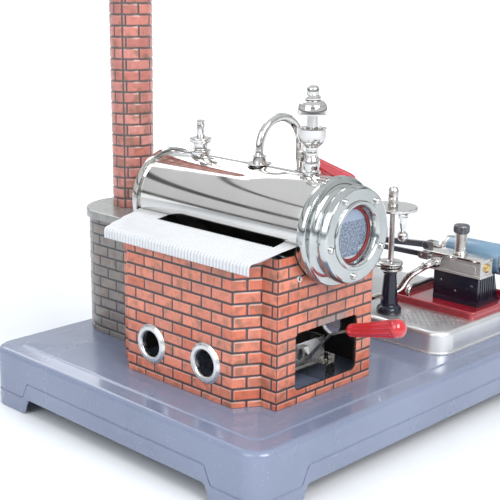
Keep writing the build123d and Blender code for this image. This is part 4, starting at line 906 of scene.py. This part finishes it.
def add_tread(verts, faces, x, y, angle):
    """One pointed oval bump, turned by angle."""
    first = len(verts)
    for scale, height in TREAD_RINGS:
        for k in range(TREAD_SEGMENTS):
            t = 2 * math.pi * k / TREAD_SEGMENTS
            pointed = math.copysign(abs(math.cos(t)) ** 1.25, math.cos(t))
            lengthwise = TREAD_HALF_LENGTH * pointed * scale
            crosswise = TREAD_HALF_WIDTH * math.sin(t) * scale
            verts.append((x + lengthwise * math.cos(angle) - crosswise * math.sin(angle),
                          y + lengthwise * math.sin(angle) + crosswise * math.cos(angle),
                          engine_plate.z1 + height))
    crest = len(verts)
    verts.append((x, y, engine_plate.z1 + TREAD_CREST))
    faces += ring_faces(len(TREAD_RINGS), TREAD_SEGMENTS, first=first)
    top = crest - TREAD_SEGMENTS
    faces += [(top + k, top + (k + 1) % TREAD_SEGMENTS, crest) for k in range(TREAD_SEGMENTS)]
    faces.append(tuple(first + k for k in range(TREAD_SEGMENTS))[::-1])


def tread_pattern():
    verts, faces = [], []
    for i in range(40):
        for j in range(60):
            # two interleaved grids whose bumps lie at right angles
            for shift, degrees in ((0.0, -45), (0.5, 45)):
                x = engine_plate.x0 + TREAD_START + (i + shift) * TREAD_PITCH
                y = engine_plate.y0 + TREAD_START + (j + shift) * TREAD_PITCH
                if tread_fits(x, y):
                    add_tread(verts, faces, x, y, math.radians(degrees))
    # the tread takes the darkened plate metal, a painted shade
    return build("tread_pattern", verts, faces, "plate_silver",
                 material=MATERIALS["plate_painted_shade"])


tread_pattern()

# ---------------------------------------------------------------- rolled rim of the drip tray
RIM_INSET, RIM_CORNER, RIM_CORNER_STEPS = 0.5, 2.6, 10


def tray_rim():
    x0, x1 = tray.x0 + RIM_INSET, tray.x1 - RIM_INSET
    y0, y1 = tray.y0 + RIM_INSET, tray.y1 - RIM_INSET
    centres = ((x1 - RIM_CORNER, y1 - RIM_CORNER), (x0 + RIM_CORNER, y1 - RIM_CORNER),
               (x0 + RIM_CORNER, y0 + RIM_CORNER), (x1 - RIM_CORNER, y0 + RIM_CORNER))
    points = []
    for quarter, (x, y) in enumerate(centres):
        for i in range(RIM_CORNER_STEPS + 1):
            angle = math.radians(90 * quarter + 90 * i / RIM_CORNER_STEPS)
            points.append((x + RIM_CORNER * math.cos(angle), y + RIM_CORNER * math.sin(angle),
                           tray.z1 - 0.1))
    verts, faces = closed_tube(points, radii=1.0, segments=12)
    return build("tray_rolled_rim", verts, faces, "red_enamel")


tray_rim()


# ---------------------------------------------------------------- fluted grips and knurled cap
def dense(profile, step=0.6):
    """Profile with its long spans divided into steps."""
    points = [profile[0]]
    for a, b in zip(profile[:-1], profile[1:]):
        count = max(1, int(math.hypot(b[0] - a[0], b[1] - a[1]) / step))
        points += [(a[0] + (b[0] - a[0]) * i / count, a[1] + (b[1] - a[1]) * i / count)
                   for i in range(1, count + 1)]
    return points


def fluted(name, profile, origin, axis, segments, flutes, depth, span, body, node, slot):
    """Turned piece of (radius, distance along the axis), fluted within a span of the axis."""
    axis = np.array(axis, float)
    axis /= np.linalg.norm(axis)
    first = square_to(axis)
    second = np.cross(axis, first)
    verts = []
    for i in range(segments):
        t = 2 * math.pi * i / segments
        direction = first * math.cos(t) + second * math.sin(t)
        cut = depth * (0.5 + 0.5 * math.cos(flutes * t)) ** 2
        for radius, along in profile:
            if span[0] < along < span[1]:
                radius = radius * (1 - cut)
            verts.append(np.array(origin, float) + axis * along + direction * radius)
    faces = strip_faces(segments, len(profile), closed=True)
    return build(name, np.array(verts), faces, slot, body=body, replaces=(node,),
                 sharp_angle=60)


# turned outlines: (radius, distance along the axis)
BURNER_GRIP = [
    (0.02, 0), (2.9, 0), (3.5, 0.5), (3.8, 1.2), (3.9, 6), (4.15, 13), (4.6, 20), (5.0, 26),
    (5.35, 30.5), (5.3, 32.6), (4.7, 34.4), (3.4, 35.5), (1.8, 35.95), (0.02, 36.0)]
WHISTLE_GRIP = [
    (1.05, 9), (2.6, 9), (3.1, 9.6), (3.35, 11), (3.6, 18), (3.95, 25), (4.4, 33), (4.68, 38),
    (4.6, 40.4), (3.9, 42.3), (2.6, 43.0), (0.02, 43.2)]
OILER_CAP = [
    (0.02, 0), (2.62, 0), (2.62, 2.05), (4.0, 2.05), (4.45, 2.5), (4.85, 3.2), (4.88, 6.2),
    (4.6, 6.9), (4.1, 7.3), (2.0, 7.5), (0.02, 7.58)]

# the burner grip's outline is brought to a largest radius of 4.75 and a length of 33.9
fluted("fluted_burner_grip",
       [(radius * 4.75 / 5.35, along * 33.9 / 36.0) for radius, along in dense(BURNER_GRIP)],
       origin=(HOUSE_X - 0.6, -93.6, 72.45), axis=(0, -33.0, 9.0), segments=128,
       flutes=8, depth=0.19, span=(2.4, 29.2),
       body="burner", node="burner_grip", slot="red_grip")

bell = cad_box("whistle_bell")
LEVER_DIP = math.radians(26.0)
fluted("fluted_whistle_grip", dense(WHISTLE_GRIP),
       origin=(HOUSE_X, (bell.y0 + bell.y1) / 2 + 5.6, 155.5),
       axis=(math.cos(LEVER_DIP), 0, -math.sin(LEVER_DIP)), segments=96,
       flutes=8, depth=0.13, span=(11.5, 39),
       body="whistle_lever", node="whistle_grip", slot="red_grip")

cap = cad_box("oiler_cap")
fluted("knurled_oiler_cap", dense(OILER_CAP, step=0.4),
       origin=((cap.x0 + cap.x1) / 2, (cap.y0 + cap.y1) / 2, cap.z0), axis=(0, 0, 1),
       segments=180, flutes=36, depth=0.055, span=(2.9, 6.5),
       body="oiler_cap", node="oiler_cap", slot="dark_steel")

# ---------------------------------------------------------------- coiled drive belt
DRIVE_RADIUS = 7.0
GOVERNOR_RADIUS, GOVERNOR_Z = 6.2, 76.7
COIL_STEP, COIL_PITCH = 0.16, 0.8
ARC_STEPS, SPAN_STEPS = 60, 160


def hermite(start, end, start_heading, end_heading):
    """Points on a smooth free span, without its end point."""
    start, end, start_heading, end_heading = (
        np.array(values, float) for values in (start, end, start_heading, end_heading))
    length = np.linalg.norm(end - start)
    t = np.linspace(0, 1, SPAN_STEPS, endpoint=False)[:, None]
    return ((2 * t ** 3 - 3 * t ** 2 + 1) * start
            + (t ** 3 - 2 * t ** 2 + t) * start_heading * length
            + (-2 * t ** 3 + 3 * t ** 2) * end
            + (t ** 3 - t ** 2) * end_heading * length)


def drive_belt():
    """Belt from the upright drive pulley, with a quarter twist, to the flat governor pulley."""
    spindle = cad_box("governor_spindle")
    pulley = cad_box("drive_pulley")
    x, governor_y = (spindle.x0 + spindle.x1) / 2, (spindle.y0 + spindle.y1) / 2
    drive_y, drive_z = (pulley.y0 + pulley.y1) / 2, (pulley.z0 + pulley.z1) / 2
    drive_arc = [(x, drive_y + DRIVE_RADIUS * math.cos(t), drive_z + DRIVE_RADIUS * math.sin(t))
                 for t in np.linspace(-math.pi / 2, math.pi / 2, ARC_STEPS, endpoint=False)]
    forward = hermite((x, drive_y, drive_z + DRIVE_RADIUS),
                      (x + GOVERNOR_RADIUS, governor_y, GOVERNOR_Z), (0, -1, 0), (0, -1, 0))
    governor_arc = [(x + GOVERNOR_RADIUS * math.cos(t), governor_y - GOVERNOR_RADIUS * math.sin(t),
                     GOVERNOR_Z) for t in np.linspace(0, math.pi, ARC_STEPS, endpoint=False)]
    backward = hermite((x - GOVERNOR_RADIUS, governor_y, GOVERNOR_Z),
                       (x, drive_y, drive_z - DRIVE_RADIUS), (0, 1, 0), (0, 1, 0))
    path = np.concatenate([np.array(drive_arc), forward, np.array(governor_arc), backward])
    loop = np.vstack([path, path[:1]])
    lengths = np.linalg.norm(np.diff(loop, axis=0), axis=1)
    travelled = np.concatenate([[0], np.cumsum(lengths)])
    # even steps along the belt; the radius swells once per turn of the coil
    along = np.linspace(0, travelled[-1], int(travelled[-1] / COIL_STEP), endpoint=False)
    points = np.column_stack([np.interp(along, travelled, loop[:, k]) for k in range(3)])
    radii = 0.46 + 0.12 * np.abs(np.sin(math.pi * along / COIL_PITCH))
    verts, faces = closed_tube(points, radii, segments=10)
    return build("coiled_drive_belt", verts, faces, "spring_belt", replaces=("drive_belt",),
                 sharp_angle=70)


drive_belt()

# ---------------------------------------------------------------- floor
CAMERA_AZIMUTH = math.radians(45.60)   # from +Y towards +X


def make_floor():
    """Pale floor that brightens to glowing white away from the camera."""
    bpy.ops.mesh.primitive_plane_add(size=80, location=(0, 0, 0))
    floor = bpy.context.object
    floor.name = "floor"
    material = finish("m_floor", base=(0.80, 0.825, 0.86), second=(0.775, 0.80, 0.84),
                      roughness=0.7, patch_scale=30, bump=0.15, bump_scale=400, specular=0.2)
    shader = Shader(material.node_tree)
    principled = shader.nodes["Principled BSDF"]
    colour = principled.inputs["Base Color"].links[0].from_socket
    away = shader.add("VectorMath", {0: shader.coords()})
    away.operation = "DOT_PRODUCT"
    away.inputs[1].default_value = (math.sin(CAMERA_AZIMUTH), math.cos(CAMERA_AZIMUTH), 0)
    far = shader.map_range(away.outputs["Value"], from_min=0.40, from_max=0.66,
                           interpolation="SMOOTHSTEP")
    colour = shader.mix(far, colour, (0.97, 0.98, 1.0))
    shader.fill(principled, {
        "Base Color": colour,
        "Emission Color": colour,
        "Emission Strength": shader.math("MULTIPLY", far, 0.55),
    })
    floor.data.materials.append(material)


make_floor()

# ---------------------------------------------------------------- world
# (position from straight down to straight up, grey level): dark bands between bright fields
SKY_BANDS = (
    (0.500, 0.55), (0.512, 0.13), (0.527, 0.14), (0.541, 0.82), (0.652, 0.88), (0.664, 0.15),
    (0.690, 0.13), (0.703, 0.86), (0.841, 0.93), (0.847, 0.12), (0.857, 0.12), (0.863, 0.95))


def make_world():
    """Banded sky for reflections; the camera itself sees plain white."""
    world = bpy.data.worlds.new("world")
    bpy.context.scene.world = world
    world.use_nodes = True
    shader = Shader(world.node_tree)
    height = shader.add("SeparateXYZ", {0: shader.coords("Generated")}).outputs["Z"]
    ramp = shader.add("ValToRGB", {"Fac": shader.map_range(height, from_min=-1)})
    stops = ramp.color_ramp.elements
    stops[0].color = (0.75, 0.76, 0.78, 1)
    stops[1].color = (0.95, 0.97, 1.0, 1)
    for position, level in SKY_BANDS:
        stops.new(position).color = (level * 0.96, level * 0.98, level, 1)
    sky = shader.nodes["Background"]
    shader.fill(sky, {"Color": ramp.outputs["Color"], "Strength": 0.92})
    white = shader.add("Background", {"Color": (1, 1, 1), "Strength": 1.0})
    camera_ray = shader.add("LightPath", {}).outputs["Is Camera Ray"]
    chosen = shader.add("MixShader", {0: camera_ray, 1: sky.outputs[0], 2: white.outputs[0]})
    shader.fill(shader.nodes["World Output"], {"Surface": chosen.outputs[0]})


make_world()


# ---------------------------------------------------------------- lights
def area_light(name, location, target, size, power, colour):
    light = bpy.data.lights.new(name, "AREA")
    light.size = size
    light.energy = power
    light.color = colour
    lamp = bpy.data.objects.new(name, light)
    bpy.context.scene.collection.objects.link(lamp)
    lamp.location = location
    lamp.rotation_mode = "QUATERNION"
    aim = Vector(target) - Vector(location)
    lamp.rotation_quaternion = aim.to_track_quat("-Z", "Y")


area_light("key", location=(-0.25, -1.15, 0.95), target=(0, 0, 0.07), size=0.8, power=17,
           colour=(1.0, 0.985, 0.965))
area_light("fill", location=(-1.15, -0.1, 0.75), target=(0, 0, 0.08), size=0.9, power=6.5,
           colour=(0.94, 0.97, 1.0))
area_light("back", location=(0.4, 1.1, 1.0), target=(0, 0, 0.1), size=0.9, power=6,
           colour=(0.94, 0.97, 1.0))

# ---------------------------------------------------------------- camera
CAMERA_PITCH = math.radians(14.32)   # downward
CAMERA_ROLL = math.radians(0.545)
CAMERA_PLACE = (-0.46744, -0.42500 + BASE_Y * MM, 0.24706)


def make_camera():
    forward = Vector((math.sin(CAMERA_AZIMUTH) * math.cos(CAMERA_PITCH),
                      math.cos(CAMERA_AZIMUTH) * math.cos(CAMERA_PITCH),
                      -math.sin(CAMERA_PITCH)))
    level_right = Vector((math.cos(CAMERA_AZIMUTH), -math.sin(CAMERA_AZIMUTH), 0))
    level_up = level_right.cross(forward)
    right = level_right * math.cos(CAMERA_ROLL) + level_up * math.sin(CAMERA_ROLL)
    up = level_up * math.cos(CAMERA_ROLL) - level_right * math.sin(CAMERA_ROLL)
    lens = bpy.data.cameras.new("cam")
    lens.lens = 80.09
    lens.sensor_width = 36.0
    camera = bpy.data.objects.new("cam", lens)
    bpy.context.scene.collection.objects.link(camera)
    pose = Matrix((right, up, -forward)).transposed().to_4x4()
    pose.translation = Vector(CAMERA_PLACE)
    camera.matrix_world = pose
    bpy.context.scene.camera = camera
    bpy.context.scene.view_settings.view_transform = "Standard"


make_camera()
